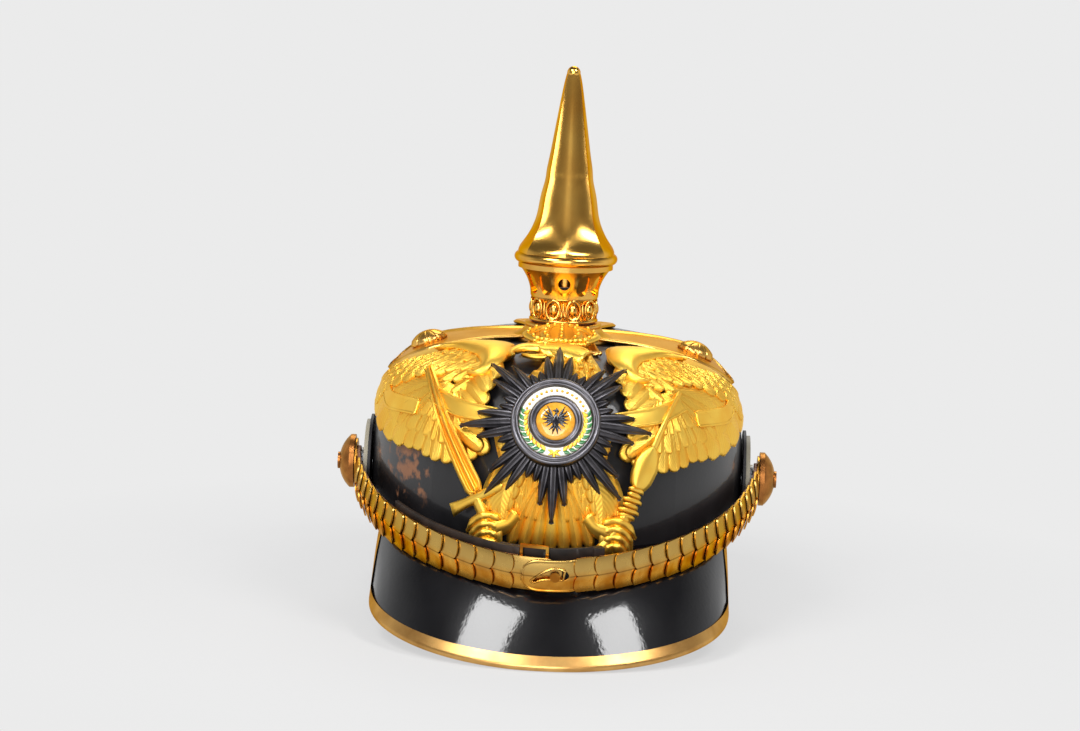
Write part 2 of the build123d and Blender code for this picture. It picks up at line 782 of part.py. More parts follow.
def fluted_section(size_share, up_share, hollow_share):
    """Outline across the spike: arcs from ridge to ridge, drawn in by the hollow share."""
    radius, height = spike_bead_radius * size_share, spike_foot + spike_height * up_share
    edges = []
    for step in range(spike_flute_count):
        points = []
        for part, size in ((0, radius), (1 / 2, radius * hollow_share), (1, radius)):
            turn = 2 * pi * (step + part) / spike_flute_count - pi / 2
            points.append((size * cos(turn), size * sin(turn), height))
        edges.append(ThreePointArc(*points))
    return Face(Wire(edges))


def spike():
    """Hollow fluted spike that rises from a round bead."""
    body = loft([fluted_section(*shares) for shares in spike_outline_shares])
    tip_share, tip_up_share, _ = spike_outline_shares[-1]
    tip_radius, tip_foot = spike_bead_radius * tip_share, spike_foot + spike_height * tip_up_share
    body += Pos(0, 0, tip_foot) * Sphere(tip_radius)
    half = spike_bead_height / 2
    body += disc(Plane.XY, spike_bead_radius - half, spike_foot, spike_foot + spike_bead_height)
    body += Pos(0, 0, spike_foot + half) * Torus(spike_bead_radius - half, half)
    bore = Cone(spike_bore_foot_radius, spike_bore_tip_radius, spike_bore_depth)
    body -= Pos(0, 0, spike_foot + spike_bore_depth / 2) * bore
    return body - disc(
        Plane.XY, plug_flange_radius + seat_gap, spike_foot - overrun, spike_foot + plug_flange_thickness)


def spike_plug():
    """Threaded plug soldered into the spike's foot."""
    top = spike_foot + plug_flange_thickness - seat_gap
    flange = disc(Plane.XY, plug_flange_radius, spike_foot + seat_gap, top)
    return flange + disc(Plane.XY, plug_radius, spike_foot - plug_length, top)


def relief_plane(azimuth, across=0, up=0):
    """Plane that faces an azimuth and leans back, through a point given in its own directions."""
    turn, tilt = radians(azimuth), radians(relief_tilt)
    toward = Vector(sin(turn) * cos(tilt), -cos(turn) * cos(tilt), sin(tilt))
    right = Vector(cos(turn), sin(turn), 0)
    centre = Vector(0, 0, relief_height) + right * across + toward.cross(right) * up
    return Plane(origin=centre, x_dir=right, z_dir=toward)


def relief(outline, azimuth, high, low=plate_lift):
    """Layer over the skull's form inside an outline seen from the azimuth."""
    plane = relief_plane(azimuth)
    return skin(low, high) & extrude(plane * outline, relief_reach, dir=plane.z_dir)


def feather(root, tip, width):
    """Feather outline from a narrow root to a round tip."""
    root, tip = Vector(*root), Vector(*tip)
    along = (tip - root).normalized()
    across = Vector(-along.Y, along.X) * (width / 2)
    corners = [root - across * feather_root_share, tip - across, tip + across, root + across * feather_root_share]
    quill = Polygon(*[(corner.X, corner.Y) for corner in corners], align=None)
    return quill + Pos(tip.X, tip.Y) * Circle(width / 2)


def wing_tip(turn, size_share):
    """Place of a wing feather's tip, at an angle about the wing's pivot."""
    sweep = max(0, (wing_even_angle - turn) / (wing_even_angle - wing_first_angle))
    size = (wing_short_reach + (wing_reach - wing_short_reach) * sweep**wing_sweep_share) * size_share
    return wing_pivot_in + size * cos(radians(turn)), size * sin(radians(turn)) - wing_pivot_drop


def feather_row(size_share, width, steps):
    """Feathers fanned about the wing's pivot, at the given steps of the fan."""
    row = Sketch()
    for step in steps:
        turn = wing_first_angle + (wing_last_angle - wing_first_angle) * step / (primary_count - 1)
        inset_share = size_share - width / wing_reach / 2
        row += feather(wing_tip(turn, size_share * feather_root_share), wing_tip(turn, inset_share), width)
    return row


def facing_up(outline):
    """The outline's face turned so that it looks up."""
    face = outline.faces()[0]
    return Sketch() + (face if face.normal_at().Z > 0 else -face)


def rounded_outline(shares, size):
    """Smooth closed outline through points that are shares of a size."""
    return facing_up(make_face(Spline(*[(x * size, y * size) for x, y in shares], periodic=True)))


def ribbon(shares):
    """Stretch of ribbon bent through three points."""
    width = ribbon_width_share * wing_reach
    upper = [(x * wing_reach, y * wing_reach) for x, y in shares]
    lower = [(x, y - width) for x, y in reversed(upper)]
    edges = [ThreePointArc(*upper), Line(upper[-1], lower[0]), ThreePointArc(*lower), Line(lower[-1], upper[0])]
    return facing_up(make_face(edges))


def wing_layers():
    """Outlines of the wearer's right wing with the height of each."""
    arm = rounded_outline(arm_outline_shares, wing_reach)
    even = feather_row(1, primary_width, range(0, primary_count, 2))
    odd = feather_row(1, primary_width, range(1, primary_count, 2))
    coverts = feather_row(covert_reach_share, covert_width, [step + 1 / 2 for step in range(primary_count - 1)])
    shoulder = rounded_outline(shoulder_outline_shares, wing_reach)
    ribbons = ribbon(ribbon_inner_shares) + ribbon(ribbon_outer_shares)
    return (
        (arm + even, low_relief, plate_lift),
        (odd, low_relief + feather_step, plate_lift + layer_sink),
        (coverts, middle_relief, plate_lift + layer_sink * 2),
        (ribbons, ribbon_relief, plate_lift + layer_sink),
        (shoulder, top_relief, plate_lift + layer_sink * 3 / 2),
    )


def tapered_rod(shares, width_shares):
    """Rod outline through points, with a half width at each, as shares of the limb size."""
    rod = Sketch()
    points = [Vector(x * limb_size, y * limb_size) for x, y in shares]
    widths = [share * limb_size for share in width_shares]
    for start, end, first, last in zip(points, points[1:], widths, widths[1:]):
        along = (end - start).normalized()
        across = Vector(-along.Y, along.X)
        corners = [start - across * first, end - across * last, end + across * last, start + across * first]
        rod += Polygon(*[(corner.X, corner.Y) for corner in corners], align=None)
        rod += Pos(end.X, end.Y) * Circle(last)
    return rod


def tail_outline():
    """Fan of tail feathers."""
    fan = Sketch()
    for step in range(tail_feather_count):
        turn = radians(tail_half_angle * (2 * step / (tail_feather_count - 1) - 1))
        root = (tail_root_spread * sin(turn), -tail_root_drop)
        tip = (root[0] + tail_length * sin(turn), -tail_root_drop - tail_length * cos(turn) + tail_feather_width / 2)
        fan += feather(root, tip, tail_feather_width)
    return fan


def limb_outline():
    """Both legs, from thigh to claw."""
    limbs = Sketch()
    for side in (1, -1):
        thigh = (side * thigh_share[0] * limb_size, thigh_share[1] * limb_size)
        claw = (side * claw_share[0] * limb_size, claw_share[1] * limb_size)
        limbs += Pos(*thigh) * Ellipse(thigh_radius, thigh_radius * thigh_length_share)
        limbs += feather(thigh, claw, leg_width)
        limbs += Pos(*claw) * Circle(claw_radius)
    return limbs


def eagle_plate():
    """Pressed eagle with spread wings, sword and sceptre, in stepped layers of relief."""
    sink = plate_lift + layer_sink
    arms = tapered_rod(sword_shares, sword_width_shares) + tapered_rod(guard_shares, guard_width_shares)
    arms += tapered_rod(sceptre_shares, sceptre_width_shares)
    body = relief(Pos(0, -breast_drop) * Circle(breast_radius) + tail_outline(), 0, middle_relief)
    for outline, high, low in wing_layers():
        body += relief(outline, -wing_view_angle, high, low)
        body += mirror(relief(outline, -wing_view_angle, high, low), Plane.YZ)
    body += relief(limb_outline(), 0, high_relief, sink)
    body += relief(arms, 0, top_relief, sink + layer_sink)
    head = extrude(rounded_outline(head_outline_shares, limb_size), spike_foot, dir=(0, 0, 1))
    body += skin(sink, top_relief) & head
    crown = extrude(rounded_outline(crown_outline_shares, limb_size), spike_foot, dir=(0, 0, 1))
    slab = Pos(0, 0, crown_thickness / 2) * Box(reach, 2 * crown_ramp_start, crown_thickness)
    body += crown & Pos(0, -crown_ramp_start, crown_ramp_foot) * Rot(crown_ramp_angle, 0, 0) * slab
    for seat in star_seats:
        body -= disc(seat, post_radius + running_gap, -overrun, overrun)
    return body - Pos(0, 0, eagle_foot_height / 2) * Box(2 * reach, 2 * reach, eagle_foot_height)


def inner_posts(seats, top):
    """Threaded posts that reach through the skull to the given distance."""
    return [disc(seat, post_radius, inner_nut_foot - inner_nut_thickness, top) for seat in seats]


def star_rays():
    """Flat star of eight bundles of rays, laid over the eagle's breast."""
    bundle_count = 8
    points = []
    for step in range(bundle_count * len(star_bundle_shares)):
        turn = 2 * pi * (step - len(star_bundle_shares) // 2) / (bundle_count * len(star_bundle_shares)) + pi / 2
        half_step = pi / (bundle_count * len(star_bundle_shares))
        size = star_radius * star_bundle_shares[step % len(star_bundle_shares)]
        points.append((size * cos(turn), size * sin(turn)))
        points.append((star_notch_radius * cos(turn + half_step), star_notch_radius * sin(turn + half_step)))
    outline = Pos(0, -star_centre_drop) * Polygon(*points, align=None)
    return relief(outline, 0, star_lift + star_thickness, star_lift)


def star_ring(radius, bore, recess):
    """Ring or disc set on the star, its face sunk below the bezels by the recess."""
    plane = relief_plane(0, 0, -star_centre_drop)
    top = star_standing - recess
    body = ring(plane, radius, bore, 0, top) if bore else disc(plane, radius, 0, top)
    return body - dome(star_lift + star_thickness + seat_gap)


def spine_sheet(low, high):
    """Strip that runs down the back of the skull and on over the rear visor."""
    room = Pos(0, spine_start + reach / 2, reach / 2 + visor_seat_height) * Box(2 * spine_half_width, reach, reach)
    lift = visor_thickness / 2 + low - visor_flange_thickness
    shares = (-spine_along_share, spine_along_share)
    tongue = visor_sheet(1, lift, lift + high - low, shares, spine_out_shares)
    return (skin(low, high) & room) + (tongue - dome(low))


def spine_seat():
    """Plane on the rear visor's middle surface, at the spine's lower screw."""
    at = visor_point(1, 0, spine_screw_share, 0)
    up = visor_point(1, 0, spine_screw_share, 1) - at
    return Plane(origin=at, x_dir=(1, 0, 0), z_dir=up)


def rear_spine():
    """Rear spine, under the head of the rear stud and with a small screw at its foot."""
    low = base_sheet_thickness + 3 * seat_gap
    body = above_table(spine_sheet(low, low + spine_thickness))
    body -= disc(stud_seats[2], post_radius + running_gap, -overrun, overrun)
    return body - spine_hole()


def spine_hole():
    """Hole of the spine's screw."""
    return disc(spine_seat(), spine_screw_radius + running_gap, -overrun, overrun)


def spine_screw():
    """Screw through spine and rear visor."""
    seat = spine_seat()
    face = visor_thickness / 2 + base_sheet_thickness + 3 * seat_gap - visor_flange_thickness + spine_thickness
    face += spine_curve_room
    head = disc(seat, spine_screw_head_radius, face, face + spine_screw_head_height)
    nut_face = visor_thickness / 2 + lining_thickness + spine_curve_room
    return head + disc(seat, spine_screw_radius, -nut_face - spine_nut_thickness, face)


def spine_nut():
    """Nut of the spine's screw, under the lined visor."""
    nut_face = visor_thickness / 2 + lining_thickness + spine_curve_room
    outline = RegularPolygon(spine_screw_head_radius, 6) - Circle(spine_screw_radius + seat_gap)
    return extrude(spine_seat().offset(-nut_face - spine_nut_thickness) * outline, spine_nut_thickness)


def cockade():
    """Flat cockade disc against the skull's side."""
    low = skull_half_width + 2 * seat_gap
    return ring(pivot_plane(1), cockade_radius, bushing_radius + running_gap, low, low + cockade_thickness)


def cockade_ring():
    """Raised ring on the cockade."""
    low = skull_half_width + 3 * seat_gap + cockade_thickness
    radii = (cockade_ring_outer_radius, cockade_ring_inner_radius)
    return ring(pivot_plane(1), *radii, low, low + cockade_ring_thickness)


def bushing():
    """Shouldered bushing through the skull's side, on which the chin band turns."""
    foot = skull_half_width - leather_thickness - seat_gap - bushing_nut_thickness
    shoulder = skull_half_width + 3 * seat_gap + cockade_thickness
    body = ring(pivot_plane(1), bushing_radius, bushing_bore_radius, foot, rosette_face)
    return body + ring(
        pivot_plane(1), bushing_shoulder_radius, bushing_bore_radius, shoulder, band_half_span - 2 * free_gap)


def bushing_nut():
    """Nut of the bushing, inside the skull."""
    top = skull_half_width - leather_thickness - seat_gap
    outline = RegularPolygon(bushing_nut_radius, 6) - Circle(bushing_radius + running_gap)
    nut = extrude(pivot_plane(1).offset(top - bushing_nut_thickness) * outline, bushing_nut_thickness)
    return nut & dome(-leather_thickness - seat_gap)


def rosette():
    """Domed rosette that covers the pivot."""
    side = ThreePointArc(
        (rosette_radius, 0, rosette_rim_height),
        (rosette_radius * rosette_dome_share, 0, rosette_height * rosette_dome_share),
        (rosette_screw_head_radius, 0, rosette_height),
    )
    body = revolve(joined(side, [(0, 0, rosette_height), (0, 0, 0), (rosette_radius, 0, 0)]), Axis.Z)
    body -= disc(Plane.XY, bushing_bore_radius, -overrun, rosette_height + overrun)
    return pivot_plane(1).offset(rosette_face + seat_gap) * body


def rosette_screw():
    """Screw that holds the rosette to the bushing."""
    top = rosette_face + 2 * seat_gap + rosette_height
    head = disc(pivot_plane(1), rosette_screw_head_radius, top, top + rosette_screw_head_height)
    return head + disc(pivot_plane(1), bushing_bore_radius - running_gap, top - rosette_screw_length, top)


@cache
def band_curve():
    """Inner face of the level chin band, from the wearer's left pivot round the front."""
    left = [(band_half_span * across, -band_reach * out, 0) for across, out in band_path_shares]
    right = [(-x, y, z) for x, y, z in reversed(left[:-1])]
    return Spline(*left, *right, tangents=[(0, -1, 0), (0, 1, 0)])


def band_middle():
    """Distance along the band from a pivot to its middle."""
    return band_curve().length / 2


def band_plane(distance, lift=0):
    """Plane facing out of the band at a distance from the left pivot, its x axis towards that pivot."""
    curve = band_curve()
    at = curve.position_at(distance, PositionMode.LENGTH)
    back = curve.tangent_at(distance, PositionMode.LENGTH) * -1
    outward = Vector(back.Y, -back.X, 0)
    return Plane(origin=at + outward * lift, x_dir=back, z_dir=outward)


def bow_drop(half_height):
    """How far the bowed scales fall back at a height from their middle."""
    return scale_bow_radius - sqrt(scale_bow_radius**2 - half_height**2)


def scale_lift():
    """Distance from the band's line to the back of a scale that straddles the leather."""
    return band_leather_thickness + seat_gap + bow_drop(band_leather_width / 2)


def band_strip(low, high, height, start, end):
    """Flat upright strip along the band, between two offsets and two distances."""
    steps = range(strip_section_count + 1)
    places = [start + (end - start) * step / strip_section_count for step in steps]
    inner = [band_plane(place, low).origin for place in places]
    outer = [band_plane(place, high).origin for place in reversed(places)]
    face = Face(Wire([Spline(*inner), Line(inner[-1], outer[0]), Spline(*outer), Line(outer[-1], inner[0])]))
    return extrude(face, height / 2, dir=(0, 0, 1), both=True)


def bowed_strip(low, high, height, start, end):
    """Strip along the band that is bowed across its height."""
    sections = []
    drop = bow_drop(height / 2)
    for step in range(end_plate_section_count):
        frame = band_plane(start + (end - start) * step / (end_plate_section_count - 1))
        corners = []
        for lift, sign in ((low, 1), (high, -1)):
            points = [(-sign * height / 2, lift - drop), (0, lift), (sign * height / 2, lift - drop)]
            corners.append([frame.from_local_coords(Vector(0, y, z)) for y, z in points])
        inner, outer = corners
        outline = [ThreePointArc(*inner), Line(inner[-1], outer[0]), ThreePointArc(*outer)]
        sections.append(Face(Wire(outline + [Line(outer[-1], inner[0])])))
    return loft(sections)


def round_end(frame, height, length):
    """Prism on a band frame with a round end at the frame's origin, open towards the pivot."""
    outline = Pos(length / 2 + height / 2, 0) * Rectangle(length, height + overrun)
    outline += Pos(height / 2, 0) * Circle(height / 2)
    return extrude(frame * outline, overrun, both=True)


def chin_leather():
    """Leather of one half of the band, with its eye on the bushing."""
    body = band_strip(0, band_leather_thickness, band_leather_width, 0, band_middle() - band_leather_end)
    body += disc(band_plane(0), band_leather_width / 2, 0, band_leather_thickness)
    return body - disc(band_plane(0), bushing_radius + running_gap, -overrun, overrun)


def eye_plate():
    """Sheet eye that stiffens the band's end."""
    low = band_leather_thickness + seat_gap
    high = low + eye_plate_thickness
    body = disc(band_plane(0), eye_plate_radius, low, high)
    body += band_strip(low, high, band_leather_width, 0, eye_plate_length)
    return body - disc(band_plane(0), bushing_radius + running_gap, -overrun, overrun)


def chin_scale(root, height):
    """Two-lobed scale, bowed across, from its root distance to the back of the next scale."""
    length = scale_overlap + scale_pitch
    rise = (scale_thickness + scale_gap) * length / scale_pitch
    foot, tip = band_plane(root, scale_lift()), band_plane(root + length, scale_lift() + rise)
    back = (foot.origin - tip.origin).normalized()
    frame = Plane(origin=foot.origin, x_dir=back, z_dir=Vector(back.Y, -back.X, 0))
    lobe = Ellipse(scale_lobe_bulge, height / 4)
    body_length = length - scale_lobe_bulge
    outline = Pos(-body_length / 2, 0) * Rectangle(body_length, height)
    for side in (1, -1):
        outline += Pos(-body_length, side * height / 4) * lobe
    drop = bow_drop(height / 2)
    blank = extrude(frame.offset(-drop) * outline, drop + scale_thickness)
    bow = Plane(origin=frame.origin - frame.z_dir * scale_bow_radius, x_dir=frame.y_dir, z_dir=frame.x_dir)
    outer = scale_bow_radius + scale_thickness
    return (blank & disc(bow, outer, -length - overrun, overrun)) - disc(
        bow, scale_bow_radius, -length - overrun, overrun)


def chin_scales(last_end):
    """Scales of one half of the band, the last one ending short of the middle by the given distance."""
    scales = []
    last_root = band_middle() - last_end - scale_pitch - scale_overlap
    count = int((last_root - first_scale_root) // scale_pitch) + 1
    for step in range(count):
        root = last_root - scale_pitch * step
        share = root / band_middle()
        scales.append(chin_scale(root, scale_side_height + (scale_front_height - scale_side_height) * share))
    return scales


def over_plate_lift():
    """Back of the plate that lies over the other half's plate."""
    return scale_lift() + end_plate_thickness + free_gap


def over_plate():
    """Slotted end plate of the wearer's left half, on a foot that stands on the leather."""
    middle = band_middle()
    low = over_plate_lift()
    start = middle - over_plate_root
    body = bowed_strip(low, low + end_plate_thickness, end_plate_height, start, middle + over_plate_tip)
    body &= round_end(band_plane(middle + over_plate_tip), end_plate_height, end_plate_root + over_plate_tip)
    body += bowed_strip(scale_lift(), low + end_plate_thickness / 2, end_plate_height, start,
                        start + over_plate_foot_length)
    slot = Pos(-hook_slot_place, 0) * SlotOverall(hook_slot_length, hook_slot_width)
    return body - extrude(band_plane(middle) * slot, overrun)


def under_plate():
    """Plain end plate of one half, which carries the hook."""
    middle = band_middle()
    low = scale_lift()
    body = bowed_strip(low, low + end_plate_thickness, end_plate_height, middle - end_plate_root,
                       middle + under_plate_tip)
    return body & round_end(band_plane(middle + under_plate_tip), end_plate_height, end_plate_root + under_plate_tip)


def chin_hook():
    """Headed pin on the under plate that stands through the over plate's slot."""
    seat = band_plane(band_middle() + hook_place)
    low = scale_lift() + end_plate_thickness + seat_gap
    top = over_plate_lift() + end_plate_thickness + free_gap
    return disc(seat, hook_radius, low, top) + disc(seat, hook_head_radius, top, top + hook_head_thickness)


def strap_height(shape):
    """Raises a piece to the strap's middle height."""
    return Pos(0, 0, strap_rise) * shape


def buckle_lift():
    """Outer face of the strap that carries the buckle."""
    return -free_gap


def strap(high, start, end):
    """Strap behind the band's leather, with a thick foot that is sewn to it."""
    low = high - strap_thickness
    body = band_strip(low, high, strap_width, start, end)
    return strap_height(body + band_strip(low, -seat_gap, strap_width, start, start + strap_foot_length))


def right_strap():
    """Strap that carries the buckle, built for the left half."""
    return strap(buckle_lift(), right_strap_start, band_middle() - buckle_place - buckle_half_length - free_gap)


def left_strap():
    """Strap that runs on behind the other strap and through the buckle."""
    return strap(buckle_lift() - strap_thickness - free_gap, left_strap_start, band_middle() + left_strap_tip)


def buckle_frame():
    """Rectangular buckle frame, built for the left half."""
    outline = Rectangle(2 * buckle_half_length, 2 * buckle_half_height)
    outline -= Rectangle(2 * (buckle_half_length - buckle_wire), 2 * (buckle_half_height - buckle_wire))
    seat = band_plane(band_middle() - buckle_place, buckle_lift() - buckle_wire - buckle_sink)
    return strap_height(extrude(seat * outline, buckle_wire))


def buckle_prong():
    """Prong that lies across the buckle's frame."""
    seat = band_plane(band_middle() - buckle_place, buckle_lift() + seat_gap + prong_radius)
    rod = Plane(origin=seat.origin + seat.x_dir * buckle_half_length, x_dir=seat.y_dir, z_dir=seat.x_dir * -1)
    return strap_height(disc(rod, prong_radius, 0, 2 * buckle_half_length))


def hung(shape, side):
    """The level band's piece on the given side, turned down to its place on the pivot."""
    placed = Pos(0, 0, pivot_height) * Rot(band_slope, 0, 0) * shape
    return placed if side > 0 else mirror(placed, Plane.YZ)


def save(name, shape):
    """Writes one node, a single piece or a list of like pieces."""
    shapes = list(shape) if isinstance(shape, list) else [shape]
    solids = [solid for piece in shapes for solid in piece.solids()]
    export_step(solids[0] if len(solids) == 1 else Compound(children=solids), f"parts/{name}.step")


rosette_face = band_half_span + band_leather_thickness + seat_gap + eye_plate_thickness + free_gap

os.makedirs("parts", exist_ok=True)

save("skull_shell", skull_shell())
for side, name in ((-1, "front"), (1, "rear")):
    leather = visor(side)
    cut = front_visor_trim() if side < 0 else spine_hole()
    save(f"{name}_visor", leather - cut)
    save(f"{name}_visor_lining", visor_lining(side) - leather - cut)
save("front_visor_trim", front_visor_trim())
save("sweatband", sweatband())
save("silk_lining", silk_lining())
save("cross_base", cross_base())
save("cross_studs", cross_studs())
save("cross_front_screw", cross_front_screw())
save("inner_washers", inner_washers(stud_seats + [screw_seat] + plate_seats + star_seats))
save("inner_nuts", inner_nuts(stud_seats + [screw_seat] + plate_seats + star_seats))
save("neck_gasket", neck_gasket())
save("pearl_ring", pearl_ring())
save("neck", neck())
save("neck_sleeve", neck_sleeve())
save("neck_inner_washer", neck_inner_washer())
save("neck_ring_nut", neck_ring_nut())
save("spike", spike())
save("spike_plug", spike_plug())
save("eagle_plate", eagle_plate())
save("plate_posts", inner_posts(plate_seats, plate_lift - seat_gap))
save("star_rays", star_rays())
save("star_posts", inner_posts(star_seats, star_lift - seat_gap))
save("star_outer_bezel", star_ring(outer_bezel_radius, outer_bezel_radius - outer_bezel_width, 0))
save("star_enamel", star_ring(
    outer_bezel_radius - outer_bezel_width - seat_gap, inner_bezel_radius + seat_gap, enamel_recess))
save("star_inner_bezel", star_ring(inner_bezel_radius, inner_bezel_radius - inner_bezel_width, 0))
save("star_medallion", star_ring(inner_bezel_radius - inner_bezel_width - seat_gap, 0, medallion_recess))
save("rear_spine", rear_spine())
save("spine_screw", spine_screw())
save("spine_nut", spine_nut())
for side, name in ((1, "left"), (-1, "right")):
    for part, shape in (
        ("cockade", cockade()), ("cockade_ring", cockade_ring()), ("bushing", bushing()),
        ("bushing_nut", bushing_nut()), ("rosette", rosette()), ("rosette_screw", rosette_screw()),
    ):
        save(f"{name}_{part}", shape if side > 0 else mirror(shape, Plane.YZ))
    save(f"{name}_chin_leather", hung(chin_leather(), side))
    save(f"{name}_eye_plate", hung(eye_plate(), side))
    ends = over_scale_end if side > 0 else under_scale_end
    save(f"{name}_chin_scales", [hung(scale, side) for scale in chin_scales(ends)])
save("left_end_plate", hung(over_plate(), 1))
save("right_end_plate", hung(under_plate(), -1))
save("chin_hook", hung(chin_hook(), -1))
save("left_chin_strap", hung(left_strap(), 1))
save("right_chin_strap", hung(right_strap(), -1))
save("buckle_frame", hung(buckle_frame(), -1))
save("buckle_prong", hung(buckle_prong(), -1))
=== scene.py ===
"""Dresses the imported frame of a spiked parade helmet: the light, the finishes and the pieces that carry detail.

Sizes in the classes are millimetres. The front faces -Y, and left and right are the wearer's, so left is +X.
"""

import json
import logging
import math
from collections.abc import Callable, Sequence
from dataclasses import dataclass, field
from enum import Enum
from functools import cached_property

import bmesh
import bpy
from mathutils import Matrix, Vector

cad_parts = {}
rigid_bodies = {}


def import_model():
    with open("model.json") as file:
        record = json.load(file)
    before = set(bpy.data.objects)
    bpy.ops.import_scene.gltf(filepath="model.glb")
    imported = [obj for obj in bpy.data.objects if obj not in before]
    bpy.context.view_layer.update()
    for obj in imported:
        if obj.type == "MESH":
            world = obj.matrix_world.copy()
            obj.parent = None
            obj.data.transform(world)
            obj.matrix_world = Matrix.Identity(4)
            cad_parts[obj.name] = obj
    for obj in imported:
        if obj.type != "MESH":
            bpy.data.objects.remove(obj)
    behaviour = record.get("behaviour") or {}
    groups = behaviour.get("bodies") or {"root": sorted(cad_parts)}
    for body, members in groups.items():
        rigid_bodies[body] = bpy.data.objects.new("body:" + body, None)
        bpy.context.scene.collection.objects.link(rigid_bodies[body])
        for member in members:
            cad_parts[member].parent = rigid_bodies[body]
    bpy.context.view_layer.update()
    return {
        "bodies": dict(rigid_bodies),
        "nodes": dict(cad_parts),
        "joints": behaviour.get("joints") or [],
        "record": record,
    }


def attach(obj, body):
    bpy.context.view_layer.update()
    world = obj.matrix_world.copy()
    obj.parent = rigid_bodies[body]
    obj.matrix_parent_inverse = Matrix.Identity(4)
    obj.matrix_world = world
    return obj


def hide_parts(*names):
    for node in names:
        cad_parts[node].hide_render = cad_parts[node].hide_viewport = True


LOG = logging.getLogger("helmet")
MM = 0.001
Point = tuple[float, float]
Colour = tuple[float, float, float, float]
Mesh = bmesh.types.BMesh
Socket = bpy.types.NodeSocket

# The chin band lies in a plane through its hinges' axis, this high up and this steep.
BAND_PIVOT = 64.0
BAND_SLOPE = math.radians(10.45)
BACKDROP = "#ebebeb"


def linear(colour: str) -> Colour:
    """Turns an sRGB hex colour to linear light.

    Args:
        colour: Six hex digits after a hash.

    Returns:
        Red, green, blue and an alpha of 1.
    """
    shares = [int(colour[at:at + 2], 16) / 255 for at in (1, 3, 5)]
    light = [share / 12.92 if share <= 0.04045 else ((share + 0.055) / 1.055) ** 2.4 for share in shares]
    return light[0], light[1], light[2], 1.0


@dataclass
class Net:
    """A node tree, and the kinds of nodes that every pattern here is built of."""

    tree: bpy.types.NodeTree

    def add(self, kind: str, settings: dict | None = None, **links: Socket) -> bpy.types.Node:
        """Adds a node.

        Args:
            kind: The node's type, without its ShaderNode prefix.
            settings: Values by the name or number of an input, or by the name of a property.
            **links: Sockets by the name of the input they go to, or by n and its number.

        Returns:
            The new node.
        """
        node = self.tree.nodes.new("ShaderNode" + kind)
        for name, value in (settings or {}).items():
            if isinstance(name, int) or name in node.inputs:
                node.inputs[name].default_value = value
            else:
                setattr(node, name, value)
        for name, socket in links.items():
            numbered = name[0] == "n" and name[1:].isdigit()
            self.tree.links.new(socket, node.inputs[int(name[1:]) if numbered else name])
        return node

    def calc(self, operation: str, *values: float | Socket) -> Socket:
        """Adds a Math node on numbers or sockets, in the order of its inputs, and returns its output."""
        numbers = {at: value for at, value in enumerate(values) if isinstance(value, (int, float))}
        sockets = {f"n{at}": value for at, value in enumerate(values) if at not in numbers}
        return self.add("Math", {"operation": operation, **numbers}, **sockets).outputs[0]

    def scale(self, value: Socket, factor: float, more: float | Socket = 0.0) -> Socket:
        """Returns a value times a factor, plus more."""
        return self.calc("MULTIPLY_ADD", value, factor, more)

    def clamp(self, value: Socket, top: float = 1.0) -> Socket:
        """Returns a value kept between 0 and a top."""
        return self.calc("MINIMUM", self.calc("MAXIMUM", value, 0.0), top)

    def mix(self, share: Socket, under: Socket, over: str, blend: str = "MIX") -> Socket:
        """Returns a colour with a hex colour blended over it by a share."""
        return self.add("MixRGB", {"blend_type": blend, "Color2": linear(over)}, Fac=share, Color1=under).outputs[0]

    def ramp(self, factor: Socket, *stops: tuple[float, str]) -> Socket:
        """Returns a factor's colour on a ramp of places from 0 to 1 and their hex colours."""
        node = self.add("ValToRGB", Fac=factor)
        elements = node.color_ramp.elements
        while len(elements) < len(stops):
            elements.new(0.5)
        for element, (place, colour) in zip(elements, stops):
            element.position, element.color = place, linear(colour)
        return node.outputs["Color"]

    def noise(self, vector: Socket, size: float, detail: float) -> Socket:
        """Returns cloudy noise from 0 to 1, by the size of one cloud and how many finer layers it has."""
        return self.add("TexNoise", {"Scale": 1 / (size * MM), "Detail": detail}, Vector=vector).outputs[0]

    def bump(self, height: Socket, depth: float, **below: Socket) -> Socket:
        """Returns the normal of a relief by its height from 0 to 1 and its depth, laid on Normal if that is given."""
        return self.add("Bump", {"Distance": depth * MM, "Strength": 1.0}, Height=height, **below).outputs[0]


@dataclass
class Skin(Net):
    """A material's tree with its shader, and the Object coordinates in metres that its patterns read."""

    shader: bpy.types.Node
    place: Socket

    def put(self, name: str, value: float | Colour | Socket) -> None:
        """Links a socket to one of the shader's inputs, or sets a constant on it."""
        if isinstance(value, Socket):
            self.tree.links.new(value, self.shader.inputs[name])
        else:
            self.shader.inputs[name].default_value = value


@dataclass(frozen=True)
class Finish:
    """What every finish shares: a name, the record's material slot, and a tree that starts with one shader."""

    name: str
    slot: str

    def dress(self, skin: Skin) -> None:
        """Sets the shader's inputs and the patterns behind them.

        Args:
            skin: The material's nodes.
        """

    def material(self) -> bpy.types.Material:
        """Returns the finish's material, made once."""
        found = bpy.data.materials.get(self.name)
        if found is None:
            found = bpy.data.materials.new(self.name)
            found.use_nodes = True
            tree = found.node_tree
            self.dress(Skin(tree, tree.nodes["Principled BSDF"], Net(tree).add("TexCoord").outputs["Object"]))
        return found


